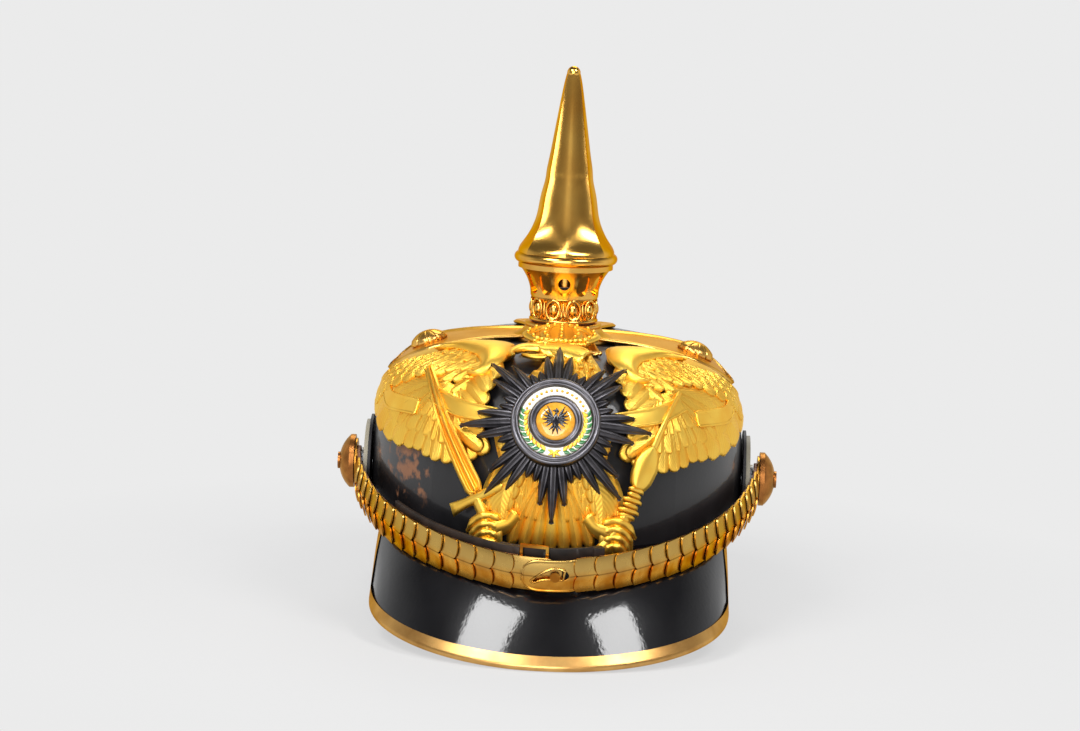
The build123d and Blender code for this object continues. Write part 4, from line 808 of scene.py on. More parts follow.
@dataclass
class BreastStar:
    """The star of rays on the eagle's breast, with its bezels, enamel and medallion."""

    centre: Point = (0.0, -33.5)
    root: float = 17.0
    reach: float = 43.5
    shares: tuple[float, ...] = (0.62, 0.83, 1.0, 0.83, 0.62)
    bundles: int = 8
    top: float = 111.4
    depth: float = 14.0
    spray: float = 14.2

    def rays(self) -> None:
        """Lays the ridged rays in bundles, the middle one of each the longest and highest."""
        relief = Relief(FRONT)
        count, half = self.bundles * len(self.shares), len(self.shares) // 2
        for step in range(count):
            turn = math.tau * (step - half) / count + math.pi / 2
            size = self.reach * self.shares[step % len(self.shares)]
            lift = 7.0 + 0.55 * (2 - abs(step % len(self.shares) - half))
            path = [(self.centre[0] + r * math.cos(turn), self.centre[1] + r * math.sin(turn))
                    for r in (self.root, (self.root + size) / 2, size)]
            relief.strip(path, (2.2, 2.4, 2.3, 1.6, 0.2), (lift - 0.2, lift, lift - 0.6), 0.0, 0.0,
                         lambda side: 2.0 * (1 - abs(side)) + 0.45 * ridge(side, 0.5, 0.25), (10, 8))
        new_piece("star_ray_bundles", relief.mesh, TARNISHED_SILVER, 1.6, ("star_rays",), faceted=True)

    def seated(self, mesh: Mesh) -> Mesh:
        """Moves a mesh about the Z axis to the star: its X and Y into the front view, its Z outwards."""
        centre = FRONT.centre + FRONT.right * self.centre[0] + FRONT.up * self.centre[1]
        turned = Matrix((FRONT.right, FRONT.up, FRONT.toward)).transposed().to_4x4()
        bmesh.ops.transform(mesh, matrix=Matrix.Translation(centre) @ turned, verts=mesh.verts)
        return mesh

    def bezels(self) -> None:
        """Turns the outer bezel of two beads and a cord, the inner bezel, and the enamel in them."""
        foot = -self.depth
        rings = (
            ("outer_bezel", BEZEL_SILVER, "star_outer_bezel", (
                (20.2, foot), (20.2, -1.6), (19.7, -0.6), (19.0, -0.3), (18.5, -0.9), (18.2, -1.0), (17.9, -0.4),
                (17.3, -0.1), (16.8, -0.5), (16.5, -1.2), (16.3, -2.4), (16.3, foot))),
            ("inner_bezel", BEZEL_SILVER, "star_inner_bezel", (
                (12.0, foot), (12.0, -1.0), (11.6, -0.2), (10.9, 0.2), (10.2, -0.2), (9.8, -0.8), (9.3, -0.5),
                (8.9, -0.8), (8.7, -1.4), (8.7, foot))),
            ("enamel_ring", WHITE_ENAMEL, "star_enamel", (
                (16.25, foot), (16.25, -1.6), (15.4, -1.25), (12.9, -1.25), (12.05, -1.6), (12.05, foot))),
            ("medallion", AMBER_ENAMEL, "star_medallion", (
                (8.65, foot), (8.65, -1.1), (6.0, -0.75), (3.0, -0.62), (0.02, -0.6), (0.02, foot))))
        for name, finish, node, outline in rings:
            mesh = bmesh.new()
            lathe(mesh, outline, self.top)
            new_piece(name, self.seated(mesh), finish, replaces=(node,), mend=True)

    def leaf(self, mesh: Mesh, at: Point, way: float, length: float, width: float, height: float) -> None:
        """Adds a small domed leaf.

        Args:
            mesh: The mesh it goes to, in the star's frame.
            at: Its root.
            way: The angle it points at, in radians.
            length: Its length.
            width: Its width.
            height: Height of its edge.
        """
        for vertex in bmesh.ops.create_grid(mesh, x_segments=6, y_segments=4, size=1.0)["verts"]:
            share, side = (vertex.co.x + 1) / 2, vertex.co.y
            along, across = length * share, side * width / 2 * max(0.03, math.sin(math.pi * share ** 0.8))
            vertex.co = (at[0] + along * math.cos(way) - across * math.sin(way),
                         at[1] + along * math.sin(way) + across * math.cos(way), height + 0.25 * (1 - side ** 2))

    def sprays(self) -> None:
        """Lays two laurel sprays, their bow, and a row of plain gilt pips on the enamel."""
        leaves, gilt = Relief(FRONT), Relief(FRONT)
        height = self.top - 1.15
        for side in (1, -1):
            for step in range(9):
                turn = math.radians(-90 + side * (16 + 10.5 * step))
                root = (self.spray * math.cos(turn), self.spray * math.sin(turn))
                for relief, lean in ((leaves, 0.55), (gilt, -0.6)):
                    self.leaf(relief.mesh, root, turn + side * (math.pi / 2 - lean), 3.7, 1.9, height)
            for lean in (0.5, -0.35, 1.5):
                self.leaf(gilt.mesh, (0, -14.3), -math.pi / 2 + side * (math.pi / 2 - lean), 3.2, 1.4, height)
        for step in range(17):
            turn = math.radians(90 + 9.6 * (step - 8))
            gilt.ball(Vector((self.spray * math.cos(turn), self.spray * math.sin(turn), height)), 0.75, 1)
        new_piece("laurel_leaves", self.seated(leaves.mesh), GREEN_ENAMEL, 0.35)
        new_piece("gilt_leaves_and_pips", self.seated(gilt.mesh), MATT_GILT, 0.35)

    def small_eagle(self) -> None:
        """Lays the small black eagle of the medallion: wings, legs, tail, body, head and beak."""
        mesh = bmesh.new()
        top = self.top - 0.62
        for side in (1, -1):
            for step in range(6):
                way = math.radians(90 - side * (28 + 21 * step))
                self.leaf(mesh, (side * 1.1, 1.5 - 0.25 * step), way, 6.0 - 0.35 * step, 1.25, top)
            self.leaf(mesh, (side * 0.6, -1.6), math.radians(-90 + side * 38), 3.4, 1.1, top)
            self.leaf(mesh, (side * 0.3, -2.0), math.radians(-90 + side * 13), 4.2, 1.2, top)
        self.leaf(mesh, (0.0, -3.4), math.radians(90), 7.4, 3.4, top + 0.15)
        self.leaf(mesh, (0.6, 3.4), math.radians(100), 2.6, 1.9, top + 0.2)
        self.leaf(mesh, (0.3, 4.8), math.radians(185), 1.9, 0.9, top + 0.25)
        new_piece("medallion_eagle", self.seated(mesh), BLACK_ENAMEL, 0.3)

    def build(self) -> None:
        """Builds the star."""
        self.rays()
        self.bezels()
        self.sprays()
        self.small_eagle()


def quill(side: float) -> float:
    """Returns the height of a feather's quill, by how far across it a point lies."""
    return 0.35 * ridge(side, 0.0, 0.2)


@dataclass
class Eagle:
    """The pressed gilt eagle: wings, ribbons, head and crown, legs, tail, sword and sceptre."""

    pivot: Point = (20.0, -12.0)
    long_reach: float = 75.0
    short_reach: float = 40.0
    clearance: float = 0.45
    give: float = 1.6

    def wing_tip(self, turn: float, share: float) -> Point:
        """Returns the place of a wing feather's tip in the cheek view.

        Args:
            turn: Its angle about the wing's pivot in degrees.
            share: Share of the wing's size.
        """
        sweep = max(0.0, (245 - turn) / 55)
        size = (self.short_reach + (self.long_reach - self.short_reach) * sweep ** 1.5) * share
        way = math.radians(turn)
        return self.pivot[0] + size * math.cos(way), self.pivot[1] + size * math.sin(way)

    def fan(self, wing: Relief, count: int, first: float, last: float, tips: float, roots: float, width: float,
            lift: float) -> None:
        """Lays a fan of feathers.

        Args:
            wing: The relief they go to.
            count: How many feathers.
            first: Angle of the first feather in degrees.
            last: Angle of the last one.
            tips: Size of the fan's tips as a share of the wing.
            roots: Size of its roots as a share of the wing.
            width: Width of a feather as a share of the fan's spacing.
            lift: Height of a feather's edge.
        """
        spacing = (last - first) / (count - 1)
        for step in range(count):
            turn = first + spacing * step
            root, tip = self.wing_tip(turn - 4, roots), self.wing_tip(turn, tips)
            middle = ((root[0] + tip[0]) / 2, (root[1] + tip[1]) / 2 + 1.2)
            sides = [self.wing_tip(turn + sign * spacing / 2, tips) for sign in (-1, 1)]
            half, edge = width * math.dist(*sides) / 2, lift + 0.4 * (step % 2)
            wing.strip([root, middle, tip], (half * 0.5, half * 0.85, half, half), (lift - 0.3, edge, edge), 1.5,
                       min(0.6, 1.1 * half / math.dist(root, tip)), quill, (12, 8))

    def rows(self, relief: Relief, places: Sequence[tuple[Point, Point]], halves: Sequence[float], lift: float,
             rise: float, round_tip: float = 0.5, camber: float = 0.8) -> None:
        """Lays small feathers alike, one for each pair of root and tip."""
        for root, tip in places:
            relief.strip([root, tip], halves, (lift, lift + rise), camber, round_tip, quill, (5, 4))

    def wing(self, side: Side) -> None:
        """Lays a wing: three fans and the inner feathers, scale feathers on the arm, the shoulder and the ribbon."""
        far = Relief(CHEEK, side is Side.LEFT)
        self.fan(far, 12, 189, 306, 1.0, 0.2, 1.14, 2.1)
        self.fan(far, 11, 193, 302, 0.8, 0.15, 1.12, 2.8)
        self.fan(far, 10, 197, 298, 0.6, 0.12, 1.1, 3.5)
        for step in range(6):
            drop = -4.0 - 6.6 * step
            far.strip([(21, drop + 5), (29, drop + 1.0), (37.0 + 1.3 * step, drop - 5.5)], (3.2, 4.2, 4.4),
                      (3.4, 4.2 + 0.3 * (step % 2)), 1.3, 0.3, quill, (9, 6))
        replaced = ("eagle_plate",) if far.mirrored else ()
        new_piece(f"{side.word}_wing_feathers", self.pressed(far), FEATHER_GILT, 1.2, replaced)
        arm = Relief(CHEEK, far.mirrored)
        arm.strip([(-51, -16), (-40, -9.5), (-24, -4), (-8, 2), (10, 3), (27, -4)], (3.5, 7.5, 9.5, 12, 12.5, 8),
                  (2.4, 2.6, 2.8), 1.5, 0.06, None, (24, 10))
        ridgeline = [(-50, -13), (-38, -7), (-22, -3), (-6, 3.5), (8, 3), (26, -5)]
        rows = ((0.2, 4.6, 3.6), (5.0, 5.6, 3.9), (9.8, 6.0, 4.2), (14.6, 6.4, 4.3))
        for row, (drop, size, lift) in enumerate(rows):
            places = []
            for step in range(13 - row):
                share = (step + 0.5 * (row % 2)) / (13 - row)
                place, _ = smooth_path(ridgeline, share)
                root = (place.x + 2.5, place.y - drop * 0.75 + 2.0)
                places.append((root, (root[0] - size * 1.05, root[1] - size * (0.55 + 0.75 * share))))
            self.rows(arm, places, (size * 0.42, size * 0.6, size * 0.62), lift - 0.1, 0.4, 0.45)
        new_piece(f"{side.word}_wing_scale_feathers", self.pressed(arm), FEATHER_GILT, 1.0)
        roll = Relief(CHEEK, far.mirrored)
        roll.strip([(-15, 3.0), (-5, 8.5), (6, 9.8), (17, 7.6), (26, 1.0), (27.5, -6.5), (22, -9.5)],
                   (0.8, 4.6, 6.6, 6.6, 5.6, 3.4, 1.4), (3.9, 4.2, 4.4, 4.4, 4.2), 2.9, 0.1, None, (26, 12))
        new_piece(f"{side.word}_wing_shoulder", roll.mesh, MATT_GILT, 1.2)
        ribbon = Relief(CHEEK, far.mirrored)
        for path, lifts in (([(7.6, -22), (27, -27), (50, -27)], (5.6, 6.0, 5.6)),
                            ([(-38, -19.5), (-30, -25.5), (-20, -28), (0, -29.6)], (3.9, 5.0, 5.6, 5.6))):
            ribbon.strip(path, (3.9, 4.2, 3.9), lifts, 0.0, 0.0,
                         lambda across: 0.75 if 0.74 < abs(across) < 0.94 else 0.0, (24, 20))
        new_piece(f"{side.word}_wing_ribbon", self.pressed(ribbon), MATT_GILT, 1.0)

    def pressed(self, relief: Relief) -> Mesh:
        """Presses a wing's relief in where the chin band's leather sweeps past it, and returns its mesh."""
        for vertex in relief.mesh.verts:
            reach = math.hypot(vertex.co.y, vertex.co.z - BAND_PIVOT)
            room = next((a[0] + (b[0] - a[0]) * (reach - a[1]) / (b[1] - a[1]) for a, b in zip(SWEPT, SWEPT[1:])
                         if reach < b[1]), 200.0) - self.clearance
            over = abs(vertex.co.x) - room + self.give
            if over > 0:
                vertex.co.x = math.copysign(room - self.give * math.exp(-over / self.give), vertex.co.x)
        return relief.mesh

    def breast(self) -> None:
        """Lays the breast and its feathers."""
        relief = Relief(FRONT)
        relief.strip([(3, -8), (0, -20), (-1, -36), (0, -52), (0, -64)], (12, 20, 27, 23, 12), (2.6, 3.4, 3.4), 1.2,
                     0.1, None, (20, 14))
        places = []
        for row in range(7):
            count = 5 + min(row, 4)
            for step in range(count):
                spread = (step - (count - 1) / 2) * 5.4
                root = (1.5 - row * 0.35 + spread, -8.0 - 5.6 * row + abs(spread) * 0.16)
                places.append((root, (root[0] + spread * 0.07, root[1] - 7.0)))
        self.rows(relief, places, (2.0, 3.0, 3.1), 4.4, 0.5, 0.4, 0.7)
        new_piece("breast_feathers", relief.mesh, FEATHER_GILT, 1.0)

    def tail(self) -> None:
        """Lays the tail's seven long feathers over a plate, and the coverts at their roots."""
        relief = Relief(FRONT)
        for step in range(7):
            lean = (step - 3) / 3
            turn = math.radians(26 * lean)
            root = (9 * math.sin(turn), -56.0)
            tip = (root[0] + 32.5 * math.sin(turn), -56 - 31.5 * math.cos(turn))
            over = 1.1 - 0.34 * abs(step - 3)
            relief.strip([root, ((root[0] + tip[0]) / 2 + 1.6 * lean, (root[1] + tip[1]) / 2), tip],
                         (1.6, 2.1, 2.9, 3.3, 2.9), (2.6 + over, 2.8 + over, 2.2 + over), 2.6, 0.22, quill, (18, 12))
        relief.strip([(0, -54), (0, -68), (0, -82)], (8, 12, 15.5), (2.2, 2.4, 2.2), 0.4, 0.2, None, (12, 10))
        for side in (1, -1):
            for step in range(3):
                x = side * (3 + 3.4 * step)
                relief.strip([(x, -56.0), (x + side * 2.2, -66.0), (x + side * (4.0 + step), -75.0 + step)],
                             (2.2, 2.8, 2.6), (4.0, 4.2), 1.1, 0.3, quill, (8, 6))
        new_piece("tail_feathers", relief.mesh, FEATHER_GILT, 1.1)

    def leg(self, side: Side) -> None:
        """Lays a feathered thigh, and the shank, palm and four toes that close round the grip."""
        sign = side.value
        leg, foot = Relief(FRONT), Relief(FRONT)
        leg.strip([(sign * 13, -46), (sign * 18, -55), (sign * 22.5, -65), (sign * 22.5, -76)], (6, 9.5, 10, 5),
                  (3.2, 3.6, 3.6), 3.0, 0.25, None, (14, 10))
        for row in range(5):
            for step in range(4):
                spread = (step - 1.5) * 4.6
                x, y = sign * (15 + 1.9 * row) + spread, -48.0 - 5.0 * row
                leg.strip([(x, y), (x + sign * 1.4 + spread * 0.05, y - 8.5)], (1.8, 2.7, 2.3),
                          (5.6 - 0.2 * abs(spread), 6.1 - 0.25 * abs(spread)), 0.8, 0.5, quill, (6, 4))
        new_piece(f"{side.word}_thigh", leg.mesh, FEATHER_GILT, 1.0)
        foot.strip([(sign * 16, -72), (sign * 20, -76.5), (sign * 27, -78)], (4.2, 3.4, 3.8, 5.2), (4.4, 4.8, 5.2),
                   2.6, 0.1, None, (12, 8))
        foot.strip([(sign * 22, -80), (sign * 29.5, -80.6), (sign * 37, -79.6)], (6.4, 8.0, 6.4), (3.6, 3.8, 3.6),
                   3.2, 0.3, None, (12, 10))
        for step in range(4):
            drop = 3.5 * step
            toe = ((23.0 + 0.5 * step, -75.2), (28.4, -73.0), (34.4 - 0.5 * step, -74.4), (38.4 - 1.5 * step, -78.6))
            foot.strip([(sign * x, y - drop) for x, y in toe], (1.7, 2.3, 1.9, 2.5, 2.0, 2.2, 1.0, 0.3),
                       (4.9, 6.4, 5.8, 7.0, 6.0, 6.2, 3.8), 1.9, 0.15, None, (24, 8))
        new_piece(f"{side.word}_claw", foot.mesh, MATT_GILT, 1.2)

    def held(self) -> None:
        """Lays the sword and the sceptre that the claws hold."""
        sword, sceptre = Relief(FRONT), Relief(FRONT)
        sword.strip([(-60.5, 1.5), (-54.9, -17.5), (-49.3, -33), (-41.6, -49.4), (-34.5, -62.5)],
                    (1.2, 2.3, 3.1, 3.7, 4.0), (5.2, 5.6, 5.6), 0.6, 0.08,
                    lambda side: 1.4 * math.cos(2.6 * math.pi * side) if abs(side) < 0.92 else -1.4, (30, 20))
        sword.strip([(-45.5, -69), (-34.5, -65.2), (-22.5, -60.5)], (3.2, 2.2, 2.4, 2.4), (5.8, 6.2, 6.0), 1.6, 0.1,
                    None, (10, 6))
        sword.strip([(-34.5, -65), (-31.0, -72), (-29, -80)], (2.3, 2.3, 2.6), (6.0, 6.0), 1.6, 0.1)
        new_piece("sword", sword.mesh, MATT_GILT, 1.4)
        sceptre.strip([(55.5, -9), (50, -23.5), (45, -37.6), (42, -43.5)], (1.0, 1.3, 1.7, 2.0), (5.6, 5.6), 1.4, 0.05,
                      None, (14, 6))
        sceptre.strip([(44.5, -39), (41.5, -47), (37.5, -58)], (2.0, 4.2, 5.6, 5.2, 3.0), (5.6, 5.6), 3.0, 0.08, None,
                      (14, 8))
        for step, half in enumerate((3.4, 3.0, 4.2, 3.4, 4.6, 3.6)):
            x, y = 37.4 - 0.75 * step, -58.5 - 2.3 * step
            sceptre.strip([(x - half, y + 0.6), (x + half, y - 0.6)], (0.8, 1.15, 1.2, 1.15, 0.8),
                          (5.2, 6.6, 6.8, 6.6, 5.2), 0.9, 0.0, None, (8, 4))
        sceptre.strip([(33.5, -70), (28, -79), (22, -87)], (2.8, 2.8, 3.4), (5.8, 5.6), 1.8, 0.15, None, (10, 6))
        new_piece("sceptre", sceptre.mesh, MATT_GILT, 1.4)

    def head(self) -> None:
        """Lays the feathered neck, then head, beak, brow, crest and eye, looking to the wearer's right."""
        neck, head = Relief(FRONT), Relief(FRONT)
        neck.strip([(4, 9), (6, 2), (6, -6), (3, -15)], (8.0, 10.5, 14.0, 17.5), (3.2, 3.4, 3.2), 2.2, 0.0, None,
                   (14, 12))
        for row in range(8):
            count = 5 if row < 3 else 6
            for step in range(count):
                spread = (step - (count - 1) / 2) * (3.3 + 0.35 * row)
                x, y = 5.5 - 0.2 * row + spread, 8.0 - 3.0 * row + 0.05 * abs(spread)
                self.rows(neck, [((x, y), (x + spread * 0.12 + 0.9, y - 6.2))], (1.4, 2.2, 1.9),
                          5.5 - 0.12 * abs(spread), 0.45, camber=0.7)
        new_piece("neck_feathers", neck.mesh, FEATHER_GILT, 1.0)
        head.strip([(12, 4.0), (5, 8.6), (-3, 9.8), (-10, 8.6)], (6.5, 8.0, 7.6, 5.2), (4.2, 4.6, 4.4), 4.0, 0.1, None,
                   (18, 14))
        head.strip([(-6, 10.4), (-12.5, 11.0), (-18.0, 9.8), (-21.8, 6.0), (-21.0, 2.6)], (4.4, 4.4, 3.8, 2.6, 0.5),
                   (5.2, 5.4, 4.6), 3.0, 0.1, None, (20, 10))
        head.strip([(-6, 4.4), (-12.0, 3.6), (-17.5, 5.0)], (2.8, 2.2, 1.0), (4.6, 4.4), 1.8, 0.2, None, (10, 6))
        head.strip([(-1.5, 14.6), (-6.5, 14.2), (-11.5, 12.8)], (0.9, 1.3, 0.8), (7.4, 8.2, 7.0), 0.9, 0.1, None,
                   (8, 4))
        for step in range(9):
            x, y = 9.5 - 1.7 * step, 12.8 - 0.25 * (step - 3) ** 2
            head.strip([(x, y), (x + 4.2, y - 3.4)], (0.9, 1.3, 0.8), (7.0, 7.4, 6.8), 0.6, 0.4, None, (5, 4))
        head.ball(FRONT.seat(-6.8, 11.6, 8.2), 1.25)
        new_piece("eagle_head", head.mesh, MATT_GILT, 1.2)

    def crown(self) -> None:
        """Lays the arched crown on its ramp: the cap, the brim, five arches, and pearls on them and on the brim."""
        crown = Relief(CrownRamp())
        crown.strip([(0, -47.0), (0, -21)], (10.5, 15.0, 14.0, 8), (-0.6, 0.4, 0.8), 2.0, 0.0, None, (12, 6))
        crown.strip([(-11.8, -45.0), (0, -48.4), (11.8, -45.0)], (2.4,), (0.6, 1.4, 0.6), 1.0, 0.0, None, (12, 6))
        arches = [[(lean * 10.6, -46), (lean * 15.6, -37), (lean * 12.0, -28), (lean * 2.0, -22)]
                  for lean in (-1.0, -0.5, 0.0, 0.5, 1.0)]
        for arch in arches:
            crown.strip(arch, (2.3, 2.9, 2.5, 1.6), (1.0, 1.2, 1.2, 1.6), 1.6, 0.0, None, (12, 6))
        for step in range(11):
            lean = (step - 5) / 5
            crown.ball(crown.view.seat(11.2 * lean, -48.6 + 3.2 * lean ** 2, 2.2), 1.25 if step % 2 else 1.6)
        for arch in arches:
            for step in range(5):
                place, _ = smooth_path(arch, 0.15 + 0.17 * step)
                crown.ball(crown.view.seat(place.x, place.y, 3.0), 1.0, 1)
        new_piece("eagle_crown", crown.mesh, MATT_GILT, 1.0)

    def build(self) -> None:
        """Builds the eagle."""
        for side in (Side.LEFT, Side.RIGHT):
            self.wing(side)
        self.breast()
        self.tail()
        for side in (Side.LEFT, Side.RIGHT):
            self.leg(side)
        self.held()
        self.head()
        self.crown()


@dataclass
class CrossBase:
    """The sheet cross on the crown, its arms edged by a rolled bead, with its hub, studs and egg-and-dart ring."""

    reach: float = 82.0
    halves: tuple[float, ...] = (13.0, 14.6, 16.1, 17.5, 18.7, 21.0, 23.6, 25.6, 24.4, 17.0, 0.6)
    lifts: tuple[float, ...] = (3.6, 2.7, 2.2, 1.8, 1.55, 1.45, 1.45, 1.45)
    start: float = 0.14
    front_reach: float = 53.0
    front_halves: tuple[float, ...] = (13.0, 14.6, 16.1, 17.7, 19.3)
    hub: tuple[Point, ...] = ((25.5, 127.6), (25.5, 129.2), (22.5, 130.1), (20.2, 131.3), (18.7, 132.7), (18.0, 133.9),
                              (18.3, 134.4), (18.3, 135.5), (17.7, 136.0), (10.5, 136.0), (10.5, 127.6))
    stud_reach: float = 63.9
    stud_radius: float = 9.2
    stud_height: float = 4.2
    stud_creases: int = 10
    collar: tuple[Point, ...] = ((13.75, 137.0), (16.3, 137.0), (16.5, 137.5), (16.0, 138.2), (15.2, 138.6),
                                 (14.9, 142.8), (15.1, 147.3), (15.7, 147.8), (15.9, 148.4), (13.75, 148.4))
    eggs: int = 10
    egg_height: float = 142.8
    frame_wire: float = 0.17

    def arms(self) -> None:
        """Lays the four arms and turns the hub that flares up to the collar."""
        relief = Relief(PLAN)

        def rolled(side: float) -> float:
            """Returns the height of an arm's bead and its shallow middle, by how far across a point lies."""
            return 0.95 * math.sqrt(ridge(side, 0.93, 0.06)) - 0.2 * (1 - side ** 2)

        for turn in (0.0, math.pi / 2, math.pi):
            path = [(math.cos(turn) * self.reach * share, math.sin(turn) * self.reach * share)
                    for share in (self.start, 0.4, 0.7, 1.0)]
            spread = [level(self.halves, self.start + (1 - self.start) * step / 20) for step in range(21)]
            relief.strip(path, spread, self.lifts, 0.0, 0.0, rolled, (44, 36))
        relief.strip([(0.0, -12.0), (0.0, -30.0), (0.0, -self.front_reach)], self.front_halves, self.lifts[:6], 0.0,
                     0.0, rolled, (30, 36))
        end, lip = self.front_halves[-1], 1.0 - self.front_reach
        relief.strip([(-end, lip), (0, lip), (end, lip)], (1.0,), (1.75,), 0.9, 0.0, None, (20, 6))
        new_piece("cross_arms", relief.mesh, POLISHED_SHEET, 1.2, ("cross_base",))
        hub = bmesh.new()
        lathe(hub, self.hub)
        new_piece("cross_hub", hub, POLISHED_SHEET, mend=True)

    def standing(self, x: float, y: float, lift: float) -> Matrix:
        """Returns a frame over a place on the crown, whose Z axis is the form's normal."""
        centre = PLAN.seat(x, y, lift)
        slope = Vector([FORM.lift(centre + step) - FORM.lift(centre - step) for step in Matrix.Scale(0.5, 3)])
        return Matrix.Translation(centre) @ slope.normalized().to_track_quat("Z", "Y").to_matrix().to_4x4()

    def studs(self) -> None:
        """Domes the three studs and presses radial creases into them."""
        mesh = bmesh.new()
        for x, y in ((self.stud_reach, 0.0), (-self.stud_reach, 0.0), (0.0, self.stud_reach)):
            frame = self.standing(x, y, 1.5)
            for vertex in bmesh.ops.create_grid(mesh, x_segments=100, y_segments=8, size=1.0)["verts"]:
                turn, out = (vertex.co.x + 1) * math.pi, (1 - vertex.co.y) / 2
                crease = max(0.0, 1 - abs(math.sin(turn * self.stud_creases / 2)) * 3.2) * out
                radius = out * self.stud_radius * (1 - 0.14 * crease)
                height = self.stud_height * (1 - out ** 2.2) * (1 - 0.2 * crease) + 0.7 if out < 1 else -0.6
                vertex.co = frame @ Vector((radius * math.cos(turn), radius * math.sin(turn), height))
        new_piece("stud_domes", mesh, POLISHED_SHEET, 0.8, ("cross_studs",), mend=True)

    def egg_ring(self) -> None:
        """Turns the collar ring and sets eggs in wire frames round it, with a dart between each two."""
        ring = bmesh.new()
        lathe(ring, self.collar, segments=80)
        egg_shape = Matrix.Translation((14.7, 0, -0.1)) @ Matrix.Diagonal((2.0, 2.25, 3.4, 1.0))
        dart_shape = Matrix.Rotation(math.pi / self.eggs, 4, "Z") @ Matrix.Translation((15.3, 0, -0.4)) @ (
            Matrix.Diagonal((0.9, 0.75, 4.4, 1.0)))
        wire_shape = Matrix.Translation((15.35, 0, 0)) @ Matrix(
            ((0, 0, 3.4, 0), (3.45, 0, 0, 0), (0, 4.75, 0, 0), (0, 0, 0, 1)))
        wire = [(1 + self.frame_wire * math.cos(turn), self.frame_wire * math.sin(turn))
                for turn in (math.tau * corner / 8 for corner in range(8))]
        for step in range(self.eggs):
            turn = math.radians(288 + 360 * step / self.eggs)
            frame = Matrix.Translation((0, 0, self.egg_height)) @ Matrix.Rotation(turn, 4, "Z")
            for fineness, shape in ((3, egg_shape), (2, dart_shape)):
                ball = bmesh.ops.create_icosphere(ring, subdivisions=fineness, radius=1.0)["verts"]
                bmesh.ops.transform(ring, matrix=frame @ shape, verts=ball)
            bmesh.ops.transform(ring, matrix=frame @ wire_shape, verts=lathe(ring, wire, segments=28))
        new_piece("egg_and_dart_ring", ring, BURNISHED_GILT, replaces=("pearl_ring",), mend=True)

    def build(self) -> None:
        """Builds the cross base."""
        self.arms()
        self.studs()
        self.egg_ring()


@dataclass
class OverPlate:
    """The chin band's round-ended plate, with a raised lip round the comma-shaped slot that takes the hook."""

    comma: tuple[Point, ...] = ((6.3, 0.6), (2.4, 1.3), (-2.6, -0.1), (-6.8, -2.9))
    comma_halves: tuple[float, ...] = (1.9, 2.5, 1.3, 0.35)
    root: float = 13.6
    tip: float = 10.9
    half: float = 7.75
    samples: int = 16

    def in_comma(self, u: float, v: float) -> bool:
        """Tells whether a place lies in the slot."""
        return any(math.dist((u, v), smooth_path(self.comma, step / self.samples)[0]) < level(
            self.comma_halves, step / self.samples) for step in range(self.samples + 1))

    def build(self) -> None:
        """Lays the plate and the slot's lip."""
        relief = Relief(BandView())
        relief.strip([(self.root, 0), (7, 0), (-3, 0), (-self.tip, 0)], (self.half,), (2.5, 4.7, 4.85, 4.85, 4.85),
                     0.0, self.half / (self.root + self.tip), lambda side: 0.55 * ridge(side, 0.92, 0.1), (110, 60),
                     self.in_comma)
        outline: list[Point] = []
        for sign in (1, -1):
            for step in range(self.samples + 1)[::sign]:
                place, way = smooth_path(self.comma, step / self.samples)
                half = sign * (level(self.comma_halves, step / self.samples) + 0.25)
                outline.append((place.x - way.y * half, place.y + way.x * half))
        relief.strip(outline + outline[:1], (0.62,), (4.7,), 0.75, 0.0, None, (140, 8))
        new_piece("slotted_over_plate", relief.mesh, SCALE_BRASS, 0.75, ("left_end_plate",), "left_chin_half")


